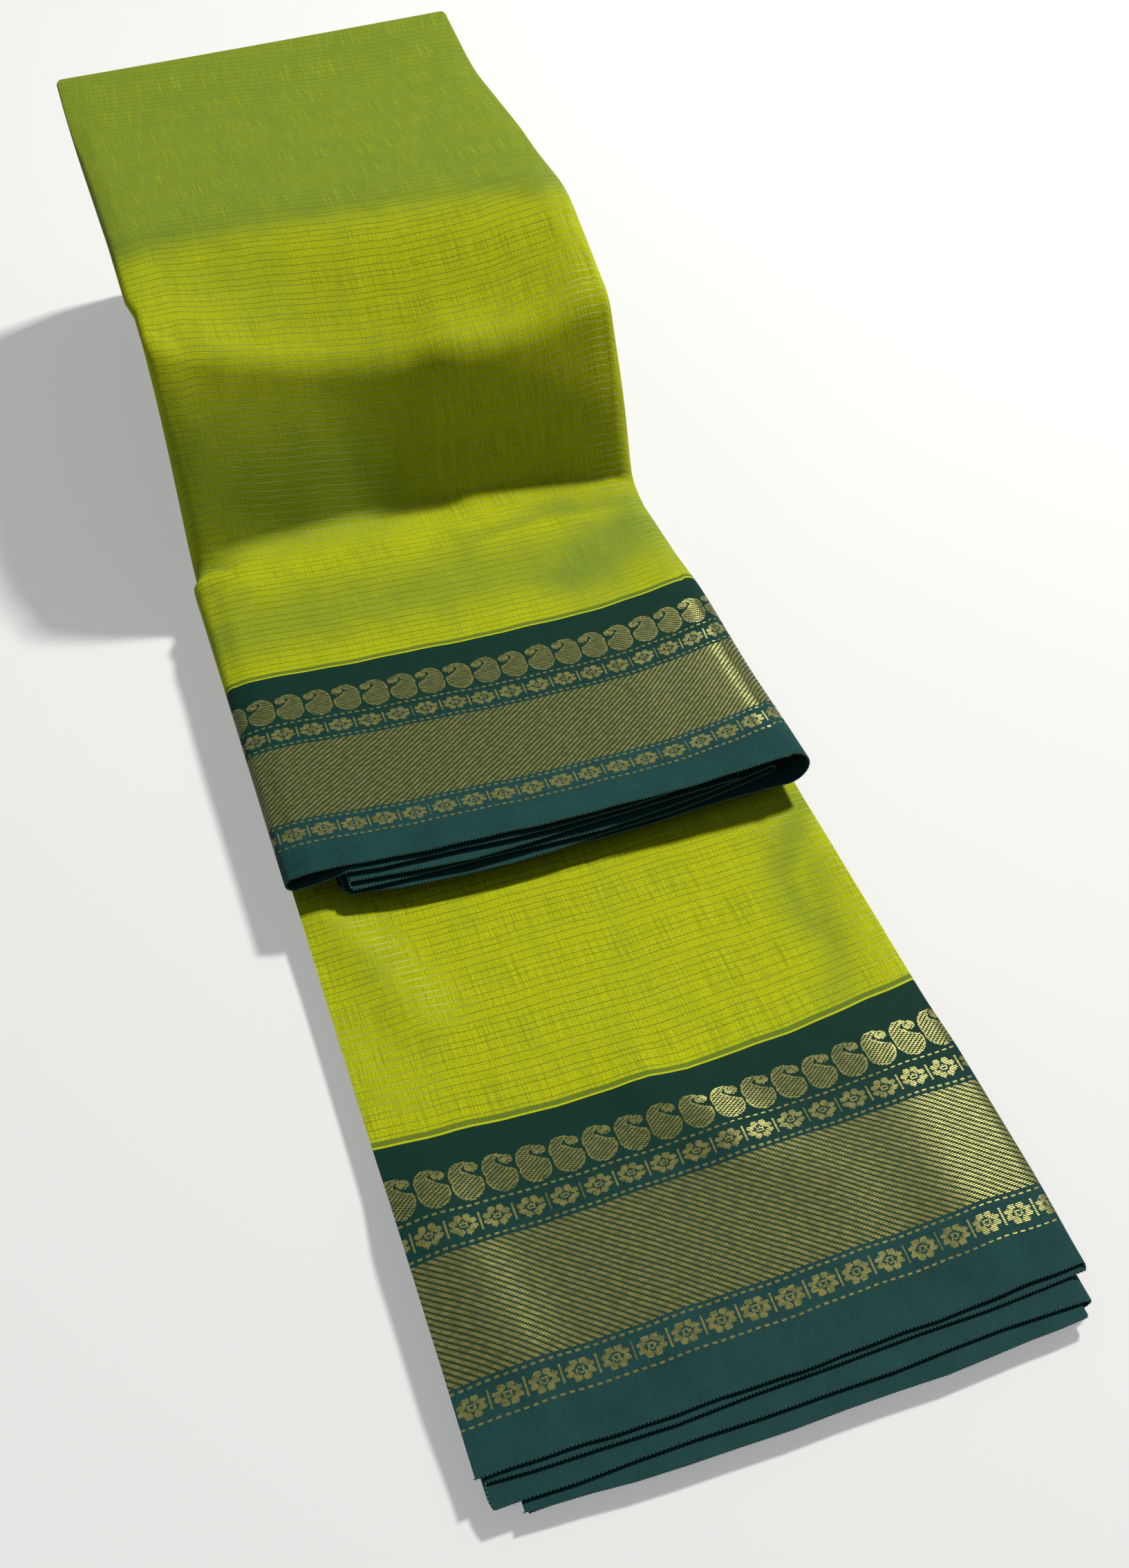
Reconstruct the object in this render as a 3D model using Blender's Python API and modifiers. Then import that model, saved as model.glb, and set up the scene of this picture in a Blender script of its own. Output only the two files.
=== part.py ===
"""A cotton sari, folded lengthwise into a flat strip of eight layers, which is doubled back on itself.

The cloth is one sheet. Across the strip its section runs back and forth through the eight layers.
Along the strip it starts at one selvedge at the front, runs back along the floor, turns up and over
at the far fold, comes forward over a hollow hump, and ends at the other selvedge on top of itself.
X runs across the strip, Y along it towards the far fold, and Z up. The origin is on the floor,
under the middle of the strip.
"""

import functools
import math
from typing import NamedTuple

import bpy
import numpy as np

# Driving sizes, in metres
STRIP_WIDTH = 0.185
THICKNESS = 0.001
PRESSED_PITCH = 0.00145
REST_GAP = 0.0006
LAYER_COUNT = 8
LOWER_STACK = (LAYER_COUNT - 1) * PRESSED_PITCH + THICKNESS

# The loosest that the layers of the upper half lie where it rests on the lower half
REST_PITCH_MOST = 0.0029

# The rounding of the upper half's top layer towards both side edges, as shares of the strip's width
EDGE_ROLL_DROP = 0.0026
EDGE_ROLL_WIDTH = 0.08

# The second layer of the upper half dips near its left end, where a loop joins it to the top one
LOOP_DIP_LEVELS = 3.2
LOOP_DIP_END = -0.43
LOOP_DIP_FADE = 0.035

# How much of a selvedge's shift the stations nearest to it take
SHIFT_FADE = (1.0, 0.8, 0.55, 0.3, 0.1)

# The part of the lower half's top layer that lies open, where the ripples are
OPEN_START_Y = -0.3185
OPEN_START_FADE = 0.05
OPEN_END_Y = -0.115
OPEN_END_FADE = 0.03

# Under the hump the lower half has slid to the right, most of all at the far fold
SLIDE = 0.0105
SLIDE_END_Y = 0.30

CLOTH_COLOUR = (0.36, 0.46, 0.03, 1.0)
CLOTH_ROUGHNESS = 0.75


class Bend(NamedTuple):
    """A bend of the strip's outer face. Each triple is for the left edge, the middle and the right."""

    name: str
    y: tuple
    z: tuple
    radius: tuple
    arc_steps: int
    run_shares: tuple  # stations on the straight run that leads to this bend, as shares of it
    pitch: float  # from layer to layer, zero where the strip rests on itself


BENDS = (
    Bend("lower_selvedge", (-0.3185, -0.3205, -0.3180), (0, 0, 0), (0, 0, 0), 0, (), PRESSED_PITCH),
    Bend(
        "back_foot", (0.330, 0.331, 0.330), (0, 0, 0), (0.022, 0.024, 0.022), 4,
        (0.012, 0.035, 0.075, 0.12, 0.17, 0.22, 0.27, 0.32, 0.42, 0.56, 0.78), PRESSED_PITCH,
    ),
    Bend(
        "back_belly", (0.333, 0.335, 0.333), (0.058, 0.060, 0.058), (0.09, 0.09, 0.09), 1,
        (), PRESSED_PITCH,
    ),
    Bend(
        "far_crest", (0.3258, 0.3265, 0.3270), (0.1190, 0.1200, 0.1207), (0.0125, 0.0125, 0.0125), 5,
        (), PRESSED_PITCH,
    ),
    Bend(
        "top_dip", (0.272, 0.272, 0.277), (0.1135, 0.1130, 0.1140), (0.12, 0.14, 0.12), 2,
        (), 0.0016,
    ),
    Bend(
        "hump_top", (0.165, 0.150, 0.137), (0.1200, 0.1226, 0.1226), (0.05, 0.06, 0.05), 3,
        (0.5,), 0.0018,
    ),
    Bend(
        "shoulder", (0.1135, 0.095, 0.0815), (0.1050, 0.1040, 0.1045), (0.022, 0.040, 0.021), 4,
        (), 0.0018,
    ),
    Bend(
        "valley", (0.0665, 0.0575, 0.0495), (0.0280, 0.0276, 0.0276), (0.022, 0.026, 0.020), 4,
        (0.5,), 0,
    ),
    Bend(
        "low_rise", (-0.020, -0.022, -0.024), (0.0283, 0.0296, 0.0293), (0.3, 0.3, 0.3), 1,
        (0.5,), 0,
    ),
    Bend(
        "border_dip", (-0.066, -0.066, -0.064), (0.0272, 0.0278, 0.0278), (0.3, 0.3, 0.3), 1,
        (), 0,
    ),
    Bend(
        "upper_selvedge", (-0.1070, -0.1165, -0.1208), (0.0262, 0.0282, 0.0318), (0, 0, 0), 0,
        (0.35, 0.65, 0.85, 0.95), 0,
    ),
)  # fmt: skip


class Layer(NamedTuple):
    """One layer of the strip. Its ends are shares of the strip's width from the middle line."""

    low_ends: tuple
    high_ends: tuple
    low_edge: tuple  # how far its selvedge stands out at the front, left, middle and right
    high_edge: tuple  # the same at the upper half's end
    shares: tuple  # its columns, as shares of the way from its left end to its right end


class Ripple(NamedTuple):
    """A soft slanting ridge in the lower half's top layer."""

    name: str
    place: float  # from the middle line at the ridge's y, as a share of the strip's width
    y: float
    slant: float  # how far its place moves for each metre along the strip
    width: float  # as a share of the strip's width
    rise: float


RIPPLES = (
    Ripple("right_ridge", 0.30, -0.19, -1.6, 0.09, 0.0011),
    Ripple("left_ridge", -0.33, -0.17, 1.8, 0.10, 0.0009),
)

# The columns of a layer, as shares of the way from its left end to its right end
PLAIN = (0.0, 0.5, 1.0)
LOOPED = (0.0, 0.07, 0.13, 0.5, 1.0)
WIDE = (0.0, 0.06, 0.20, 0.40, 0.60, 0.80, 0.94, 1.0)
LAYERS = {
    1: Layer((-0.44, 0.49), (-0.50, 0.505), (0.0066, 0.0073, 0.0092), (0, 0, 0), WIDE),
    2: Layer((-0.44, 0.46), (-0.50, 0.375), (0.0080, 0.0088, 0.0108), (0, 0.0005, -0.006), LOOPED),
    3: Layer((-0.445, 0.46), (-0.40, 0.375), (0.0095, 0.0103, 0.012), (0.0035, 0.0025, -0.006), PLAIN),
    4: Layer((-0.445, 0.47), (-0.40, 0.455), (0.0105, 0.0115, 0.0131), (0.0055, 0.0035, -0.007), PLAIN),
    5: Layer((-0.48, 0.47), (-0.403, 0.455), (0.0095, 0.0080, 0.0110), (0.0075, 0.0050, -0.008), PLAIN),
    6: Layer((-0.49, 0.49), (-0.41, 0.505), (0.0088, 0.0068, 0.0105), (0.0040, 0.0020, 0.000), PLAIN),
    7: Layer((-0.49, 0.50), (-0.41, 0.45), (0.0020, 0.0015, 0.0020), (0, -0.004, -0.008), PLAIN),
    8: Layer((-0.50, 0.50), (-0.415, 0.45), (0, 0, 0), (-0.002, -0.005, -0.009), WIDE),
}  # fmt: skip


class Fold(NamedTuple):
    """The turn from one layer to the next at a side edge. Its reach is a share of half its height."""

    first: int
    second: int
    side: int  # -1 at the left edge, 1 at the right
    reach: float
    steps: int


# The order in which the section runs through the layers, from one cut end of the cloth to the other
FOLDS = (
    Fold(8, 7, 1, 1.0, 3),
    Fold(7, 6, -1, 1.0, 3),
    Fold(6, 1, 1, 1.35, 6),
    Fold(1, 2, -1, 1.1, 5),
    Fold(2, 3, 1, 1.0, 3),
    Fold(3, 4, -1, 1.0, 3),
    Fold(4, 5, 1, 1.0, 3),
)


def across(triple, share):
    """The smooth curve through the values at the left edge (share 0), the middle and the right edge."""
    left, middle, right = triple
    bow = middle - (left + right) / 2
    return left + (right - left) * share + bow * 4 * share * (1 - share)


def blend(start, end, share):
    return start + (end - start) * share


def soft_step(value):
    value = min(max(value, 0.0), 1.0)
    return value * value * (3 - 2 * value)


def turned(vector, angle):
    cosine, sine = math.cos(angle), math.sin(angle)
    return np.array([vector[0] * cosine - vector[1] * sine, vector[0] * sine + vector[1] * cosine])


def straight_stations(start, end, shares):
    """Points and inward normals at these shares of a straight run."""
    way = (end - start) / np.linalg.norm(end - start)
    inward = turned(way, math.pi / 2)
    return [(start + (end - start) * share, inward) for share in shares]


def rounded_corner(before, corner, after, radius, steps):
    """Points and inward normals round a corner, steps + 1 of them, from its first end to its last."""
    way_in = (corner - before) / np.linalg.norm(corner - before)
    way_out = (after - corner) / np.linalg.norm(after - corner)
    angle = math.atan2(way_in[0] * way_out[1] - way_in[1] * way_out[0], way_in @ way_out)
    first = corner - way_in * radius * math.tan(abs(angle) / 2)
    side = math.copysign(1.0, angle)
    centre = first + turned(way_in, math.pi / 2) * side * radius
    stations = []
    for step in range(steps + 1):
        part = angle * step / steps
        point = centre + turned(first - centre, part)
        stations.append((point, turned(way_in, part + math.pi / 2)))
    return stations


@functools.lru_cache(maxsize=None)
def outer_face(share):
    """The stations of the strip's outer face at one share of its width: (point, inward normal, pitch)."""
    corners = [np.array([across(bend.y, share), across(bend.z, share)]) for bend in BENDS]
    stations = [(*straight_stations(corners[0], corners[1], (0.0,))[0], BENDS[0].pitch)]
    for index in range(1, len(BENDS)):
        bend = BENDS[index]
        last = index == len(BENDS) - 1
        start = stations[-1][0]
        if last:
            turn = []
            end = corners[index]
        else:
            radius = across(bend.radius, share)
            turn = rounded_corner(*corners[index - 1 : index + 2], radius, bend.arc_steps)
            end = turn[0][0]
        run = straight_stations(start, end, bend.run_shares)
        before = stations[-1][2]
        for way, (point, inward) in zip(bend.run_shares, run):
            stations.append((point, inward, run_pitch(before, bend.pitch, way, point)))
        if last:
            inward = straight_stations(start, end, (1.0,))[0][1]
            turn = [(end, inward)]
        for point, inward in turn:
            stations.append((point, inward, run_pitch(before, bend.pitch, 1.0, end)))
    return stations


def run_pitch(before, pitch, way, point):
    """The pitch of the layers. Where the strip rests on itself they fill the height to the lower half."""
    if pitch:
        return blend(before, pitch, way)
    height = point[1] - LOWER_STACK - REST_GAP - THICKNESS
    resting = height / (LAYER_COUNT - 1)
    return blend(before, min(resting, REST_PITCH_MOST), soft_step(way))


def station_count():
    return len(outer_face(0.5))


def upper_shares(count):
    """How far each station belongs to the upper half: 0 along the floor, 1 from the far crest on."""
    floor_stations = 1 + len(BENDS[1].run_shares) + 1
    crest_station = floor_stations + BENDS[1].arc_steps + 1 + BENDS[2].arc_steps + 1 + BENDS[3].arc_steps
    climb = crest_station - floor_stations
    return [soft_step((index - floor_stations) / climb) for index in range(count)]


class Column(NamedTuple):
    """One line of points along the whole strip: a place on a layer, or a place on the fold between two."""

    layer: int
    share: float
    fold: Fold | None
    angle: float


def section_columns():
    """The columns in the order of the cloth, from one cut end to the other."""
    columns = []
    rightward = True
    order = [FOLDS[0].first] + [fold.second for fold in FOLDS]
    for place, layer in enumerate(order):
        shares = LAYERS[layer].shares if rightward else LAYERS[layer].shares[::-1]
        columns += [Column(layer, share, None, 0.0) for share in shares]
        if place < len(FOLDS):
            fold = FOLDS[place]
            for step in range(1, fold.steps + 1):
                columns.append(Column(fold.first, 0.0, fold, math.pi * step / (fold.steps + 1)))
        rightward = not rightward
    return columns


def fold_at(layer, side):
    """The fold that ends this layer on this side, or None at a cut end."""
    found = [fold for fold in FOLDS if side == fold.side and layer in (fold.first, fold.second)]
    return found[0] if found else None


def layer_depth(layer, place, upper, pitch, station_y):
    """How far a layer's middle surface lies in from the strip's outer face, at a place across it."""
    depth = THICKNESS / 2 + (layer - 1) * pitch
    if layer == 1:
        from_edge = min(place + 0.5, 0.5 - place) / EDGE_ROLL_WIDTH
        depth += upper * EDGE_ROLL_DROP * (1 - soft_step(from_edge)) ** 2
    if layer == 2:
        depth += upper * LOOP_DIP_LEVELS * pitch * soft_step((LOOP_DIP_END - place) / LOOP_DIP_FADE)
    if layer == LAYER_COUNT:
        depth += (1 - upper) * ripple(place, station_y)
    return depth


def ripple(place, y):
    """How far the lower half's top layer rises at a place across the strip, where it lies open."""
    started = soft_step((y - OPEN_START_Y) / OPEN_START_FADE)
    open_here = started * soft_step((OPEN_END_Y - y) / OPEN_END_FADE)
    total = 0.0
    for ridge in RIPPLES:
        from_ridge = place - ridge.place - (y - ridge.y) * ridge.slant
        total += ridge.rise * math.exp(-((from_ridge / ridge.width) ** 2))
    return open_here * total


def layer_end(layer, side, upper):
    """Where a layer's end is, as a share of the strip's width from its middle line."""
    index = 0 if side < 0 else 1
    return blend(LAYERS[layer].low_ends[index], LAYERS[layer].high_ends[index], upper)


def fold_reach(fold, upper, pitch, station_y):
    """How far a fold stands out sideways, in metres."""
    place = layer_end(fold.first, fold.side, upper)
    depths = [layer_depth(layer, place, upper, pitch, station_y) for layer in (fold.first, fold.second)]
    return fold.reach * abs(depths[1] - depths[0]) / 2


def span_point(layer, share, upper, pitch, station_y):
    """(x, depth, selvedge shifts) of a place on a layer, short of its folds by their reach."""
    ends = []
    for side in (-1, 1):
        fold = fold_at(layer, side)
        reach = fold_reach(fold, upper, pitch, station_y) if fold else 0.0
        ends.append(layer_end(layer, side, upper) * STRIP_WIDTH - side * reach)
    x = blend(ends[0], ends[1], share)
    place = x / STRIP_WIDTH
    depth = layer_depth(layer, place, upper, pitch, station_y)
    shifts = (across(LAYERS[layer].low_edge, place + 0.5), across(LAYERS[layer].high_edge, place + 0.5))
    return x, depth, shifts


def fold_point(fold, angle, upper, pitch, station_y):
    """(x, depth, selvedge shifts) of a place on a fold: half an ellipse between the ends of two layers."""
    share = 0.0 if fold.side < 0 else 1.0
    start = span_point(fold.first, share, upper, pitch, station_y)
    end = span_point(fold.second, share, upper, pitch, station_y)
    way = (1 - math.cos(angle)) / 2
    bulge = fold_reach(fold, upper, pitch, station_y) * math.sin(angle)
    x = blend(start[0], end[0], way) + fold.side * bulge
    shifts = tuple(blend(a, b, way) for a, b in zip(start[2], end[2]))
    return x, blend(start[1], end[1], way), shifts


def section_point(column, upper, pitch, station_y):
    if column.fold:
        return fold_point(column.fold, column.angle, upper, pitch, station_y)
    return span_point(column.layer, column.share, upper, pitch, station_y)


def column_points(column):
    """The points of one column, from the lower selvedge to the upper one."""
    middle = outer_face(0.5)
    uppers = upper_shares(len(middle))
    points = []
    for index, upper in enumerate(uppers):
        guess = section_point(column, upper, middle[index][2], middle[index][0][0])
        share = guess[0] / STRIP_WIDTH + 0.5
        face, inward, pitch = outer_face(round(share, 4))[index]
        x, depth, shifts = section_point(column, upper, pitch, face[0])
        way = turned(inward, -math.pi / 2)
        along = 0.0
        if index < len(SHIFT_FADE):
            along = -shifts[0] * SHIFT_FADE[index]
        from_end = len(middle) - 1 - index
        if from_end < len(SHIFT_FADE):
            along = shifts[1] * SHIFT_FADE[from_end]
        y, z = face + inward * depth + way * along
        points.append((x + slide(face[0], upper), y, z))
    return points


def slide(y, upper):
    """How far to the right the lower half lies, which fades out up the back to the far crest."""
    return SLIDE * soft_step(y / SLIDE_END_Y) * (1 - upper)


def build_sheet(name):
    """A flat grid of the cloth, with each of its points moved to its place in the folded strip."""
    columns = section_columns()
    rows = station_count()
    bpy.ops.mesh.primitive_grid_add(x_subdivisions=len(columns) - 1, y_subdivisions=rows - 1, size=1)
    sheet = bpy.context.object
    sheet.name = name
    sheet.data.name = name
    places = np.array([column_points(column) for column in columns])
    coordinates = places.transpose(1, 0, 2).reshape(-1, 3)
    sheet.data.vertices.foreach_set("co", coordinates.ravel())
    sheet.data.update()
    solidify = sheet.modifiers.new("cloth_thickness", "SOLIDIFY")
    solidify.thickness = THICKNESS
    solidify.offset = 0
    return sheet


def cloth_material():
    material = bpy.data.materials.new("cotton_lime_green")
    material.use_nodes = True
    shader = material.node_tree.nodes["Principled BSDF"]
    shader.inputs["Base Color"].default_value = CLOTH_COLOUR
    shader.inputs["Roughness"].default_value = CLOTH_ROUGHNESS
    shader.inputs["Metallic"].default_value = 0.0
    return material


def main():
    for thing in list(bpy.data.objects):
        bpy.data.objects.remove(thing)
    collection = bpy.data.collections.new("folded_cotton_sari")
    bpy.context.scene.collection.children.link(collection)
    sheet = build_sheet("sari_cloth")
    for owner in list(sheet.users_collection):
        owner.objects.unlink(sheet)
    collection.objects.link(sheet)
    sheet.data.materials.append(cloth_material())
    sheet.data.shade_smooth()


main()
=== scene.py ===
"""The looks of a folded cotton sari: one sheet of cloth, woven and creased, laid on the folds of its solid.

X runs across the folded strip, Y along it towards the far fold, and Z up, all in metres. The cloth's own
measure is its UV map: U runs along the sari's length and V across it, from one selvedge to the other.
The finishes give their sizes in millimetres.
"""

import logging
import math
from dataclasses import dataclass, field
from enum import Enum

import bpy
import numpy as np
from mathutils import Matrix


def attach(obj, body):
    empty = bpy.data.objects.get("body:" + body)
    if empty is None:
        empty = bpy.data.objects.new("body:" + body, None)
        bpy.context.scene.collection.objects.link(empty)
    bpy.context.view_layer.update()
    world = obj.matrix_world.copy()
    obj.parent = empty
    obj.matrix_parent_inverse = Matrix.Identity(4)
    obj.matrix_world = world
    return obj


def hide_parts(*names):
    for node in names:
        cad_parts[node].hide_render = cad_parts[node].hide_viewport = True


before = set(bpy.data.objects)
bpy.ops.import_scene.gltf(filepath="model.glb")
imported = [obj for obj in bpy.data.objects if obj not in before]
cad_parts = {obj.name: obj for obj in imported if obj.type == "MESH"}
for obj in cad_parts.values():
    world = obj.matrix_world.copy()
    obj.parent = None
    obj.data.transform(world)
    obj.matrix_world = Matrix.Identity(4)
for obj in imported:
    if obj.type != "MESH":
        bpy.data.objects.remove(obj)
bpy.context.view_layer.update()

log = logging.getLogger("folded_sari")

Number = np.ndarray | float
Pair = tuple[float, float]
Triple = tuple[float, float, float]
Colour = tuple[float, float, float, float]
Steps = tuple[float, float, float, float]

STRIP_WIDTH = 0.185
PRESSED_PITCH = 0.00145
REST_PITCH_MOST = 0.0029


class Half(Enum):
    """The two halves of the doubled strip."""

    LOWER = "lower"
    UPPER = "upper"


# ----- Curves -------------------------------------------------------------------------------------


def across(triple: Triple, share: Number) -> Number:
    """The smooth curve through a value at the left edge (share 0), the middle and the right edge (1).

    Args:
        triple: the three values.
        share: the place across.

    Returns:
        The value at that place.
    """
    left, middle, right = triple
    bow = middle - (left + right) / 2
    return left + (right - left) * share + bow * 4 * share * (1 - share)


def blend(start: Number, end: Number, share: Number) -> Number:
    """The value that lies this share of the way from start to end."""
    return start + (end - start) * share


def soft_step(value: Number) -> Number:
    """A smooth step from 0 to 1 as value goes from 0 to 1."""
    clipped = np.clip(value, 0.0, 1.0)
    return clipped * clipped * (3 - 2 * clipped)


def turned(vector: np.ndarray, angle: float) -> np.ndarray:
    """The vector turned by an angle, anticlockwise."""
    cosine, sine = math.cos(angle), math.sin(angle)
    return np.array([vector[0] * cosine - vector[1] * sine, vector[0] * sine + vector[1] * cosine])


def unit(vector: np.ndarray) -> np.ndarray:
    """The vector at a length of one."""
    return vector / np.linalg.norm(vector)


def step_lengths(points: np.ndarray, axis: int) -> np.ndarray:
    """The distance from each point to the next, with a table's axis 0 across the strip and 1 along it."""
    return np.linalg.norm(np.diff(points, axis=axis), axis=-1)


@dataclass(frozen=True)
class Ramp:
    """A smooth step from 0 to 1 over a length from its start on, or backwards where that is negative."""

    start: float
    length: float

    def at(self, place: Number) -> Number:
        """The step's height at a place."""
        return soft_step((place - self.start) / self.length)


@dataclass(frozen=True)
class Ripple:
    """A sine wave along an edge. Its phase grows with the layer's number by turn."""

    length: float
    turn: float
    share: float

    def at(self, x: np.ndarray, layer: int) -> np.ndarray:
        """The wave's height on a layer."""
        return np.sin(x / self.length + layer * self.turn) * self.share


# ----- The folded strip ---------------------------------------------------------------------------


@dataclass(frozen=True)
class Bend:
    """A bend of the strip's outer face, with values for its left edge, its middle and its right edge.

    runs holds the stretches of the straight run that leads to the bend, each with the share of the run
    where it ends and its rows. A pitch of 0 lets the layers fill the height where the strip rests on
    itself. climb says how far the strip has changed from its lower to its upper half at the start and at
    the end of the bend.
    """

    name: str
    y: Triple
    z: Triple
    radius: Triple
    arc_rows: int
    runs: tuple[tuple[float, int], ...]
    pitch: float = 0.0
    climb: Pair = (1, 1)


@dataclass(frozen=True)
class Layer:
    """One layer of the strip. Its ends are shares of the strip's width from the middle line.

    low_edge and high_edge say how far its selvedges stand out, at the left, in the middle and at the
    right, and columns is how many points it has across.
    """

    low_ends: Pair
    high_ends: Pair
    low_edge: Triple
    high_edge: Triple
    columns: int


@dataclass(frozen=True)
class Fold:
    """The turn from one layer to the next at a side edge. Its reach is a share of half its height."""

    first: int
    second: int
    side: int
    reach: float
    steps: int


@dataclass(frozen=True)
class Crease:
    """A soft ridge or trough along a line on one half's top layer.

    Each end is (share of the strip's width from the middle line, y). A trough has a negative rise.
    green says how much painted shade, a darker and greener tone of the cloth, lies along it, and
    shine how much painted glint brightens its zari threads. A bundled crease moves every layer of its half.
    """

    name: str
    half: Half
    start: Pair
    end: Pair
    width: float
    rise: float = 0.0
    green: float = 0.0
    shine: float = 0.0
    bundled: bool = False

    def strength(self, place: np.ndarray, y: np.ndarray) -> np.ndarray:
        """How strong it is, from 0 to 1.

        Args:
            place: shares of the width from the middle line.
            y: places along the strip.

        Returns:
            The strength at each place.
        """
        start = np.array([self.start[0] * STRIP_WIDTH, self.start[1]])
        along = np.array([self.end[0] * STRIP_WIDTH, self.end[1]]) - start
        x_off, y_off = place * STRIP_WIDTH - start[0], y - start[1]
        way = np.clip((x_off * along[0] + y_off * along[1]) / (along @ along), 0.0, 1.0)
        gap = np.hypot(x_off - way * along[0], y_off - way * along[1])
        return np.exp(-((gap / self.width) ** 2))


@dataclass(frozen=True)
class BorderDrift:
    """How far a border's pattern has drifted towards its selvedge, as the cloth was pulled and pressed.

    shares are the places across the strip that the offsets belong to. Each row is a distance from the
    selvedge with its offsets, all in millimetres, and there is no drift at the selvedge and past reach.
    """

    shares: tuple[float, ...]
    reach: float
    rows: tuple[tuple[float, tuple[float, ...]], ...]
    degree: int = 4

    def at(self, share: np.ndarray, distance: np.ndarray) -> np.ndarray:
        """The drift in metres.

        Args:
            share: places across the strip, from 0 to 1.
            distance: distances from the selvedge, in metres.

        Returns:
            The drift at each place.
        """
        still = (0.0,) * len(self.shares)
        rows = ((0.0, still), *self.rows, (self.reach, still))
        curves = [np.polyval(np.polyfit(self.shares, offsets, self.degree), share) for _, offsets in rows]
        place = np.clip(distance * 1000, 0.0, self.reach)
        drift = np.zeros(np.shape(share))
        for (start, _), (end, _), low, high in zip(rows, rows[1:], curves, curves[1:]):
            here = (place >= start) & (place <= end)
            drift = np.where(here, blend(low, high, (place - start) / (end - start)), drift)
        return drift / 1000


BENDS = (
    Bend("lower_selvedge", (-0.3176, -0.3190, -0.3165), (0, 0, 0), (0, 0, 0), 0, (), PRESSED_PITCH, (0, 0)),
    Bend(
        "back_foot", (0.330, 0.331, 0.330), (0, 0, 0), (0.022, 0.024, 0.022), 6,
        ((0.36, 58), (1.0, 22)), PRESSED_PITCH, (-1 / 12, 3 / 12),
    ),
    Bend(
        "back_belly", (0.333, 0.335, 0.333), (0.058, 0.060, 0.058), (0.09, 0.09, 0.09), 2,
        ((1.0, 2),), PRESSED_PITCH, (4 / 12, 5 / 12),
    ),
    Bend(
        "far_crest", (0.3262, 0.3265, 0.3280), (0.1190, 0.1200, 0.1216), (0.0105, 0.0105, 0.0105), 12,
        ((1.0, 5),), PRESSED_PITCH, (6 / 12, 11 / 12),
    ),
    Bend(
        "top_dip", (0.272, 0.272, 0.277), (0.1135, 0.1130, 0.1140), (0.12, 0.14, 0.12), 6,
        ((1.0, 7),), 0.0016,
    ),
    Bend(
        "hump_top", (0.165, 0.150, 0.137), (0.1200, 0.1226, 0.1226), (0.05, 0.06, 0.05), 6,
        ((1.0, 18),), 0.0018,
    ),
    Bend(
        "shoulder", (0.1075, 0.0925, 0.0840), (0.1085, 0.0845, 0.1003), (0.018, 0.020, 0.018), 8,
        ((1.0, 5),), 0.0018,
    ),
    Bend(
        "valley", (0.0645, 0.0715, 0.0570), (0.0280, 0.0276, 0.0276), (0.008, 0.006, 0.006), 8, ((1.0, 14),),
    ),
    Bend("low_rise", (-0.020, -0.022, -0.024), (0.0283, 0.0296, 0.0293), (0.3, 0.3, 0.3), 2, ((1.0, 22),)),
    Bend("border_dip", (-0.066, -0.066, -0.064), (0.0272, 0.0278, 0.0278), (0.3, 0.3, 0.3), 2, ((1.0, 11),)),
    Bend("upper_selvedge", (-0.1070, -0.1160, -0.1183), (0.0262, 0.0282, 0.0318), (0, 0, 0), 0, ((1.0, 14),)),
)  # fmt: skip

LAYERS = {
    1: Layer((-0.44, 0.49), (-0.50, 0.505), (0.0066, 0.0073, 0.0092), (0, 0, 0), 42),
    2: Layer((-0.44, 0.46), (-0.50, 0.375), (0.0080, 0.0088, 0.0090), (0, 0.0005, -0.006), 14),
    3: Layer((-0.440, 0.46), (-0.40, 0.375), (0.0088, 0.0102, 0.0104), (0.0035, 0.0025, -0.006), 10),
    4: Layer((-0.443, 0.47), (-0.40, 0.455), (0.0100, 0.0118, 0.0120), (0.0055, 0.0035, -0.007), 10),
    5: Layer((-0.445, 0.47), (-0.403, 0.455), (0.0114, 0.0132, 0.0134), (0.0075, 0.0050, -0.008), 14),
    6: Layer((-0.49, 0.49), (-0.41, 0.505), (0.0088, 0.0073, 0.0100), (0.0040, 0.0020, 0.000), 12),
    7: Layer((-0.49, 0.50), (-0.41, 0.45), (0.0020, 0.0015, 0.0020), (0, -0.004, -0.008), 10),
    8: Layer((-0.50, 0.50), (-0.415, 0.45), (0, 0, 0), (-0.002, -0.005, -0.009), 38),
}

FOLDS = (
    Fold(8, 7, 1, 1.0, 5),
    Fold(7, 6, -1, 1.0, 5),
    Fold(6, 1, 1, 1.35, 14),
    Fold(1, 2, -1, 1.1, 9),
    Fold(2, 3, 1, 1.0, 6),
    Fold(3, 4, -1, 1.0, 5),
    Fold(4, 5, 1, 1.0, 5),
)

# Besides their rise, the creases lay painted shade, a darker and greener tone, and painted glint on the
# body's zari threads.
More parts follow.
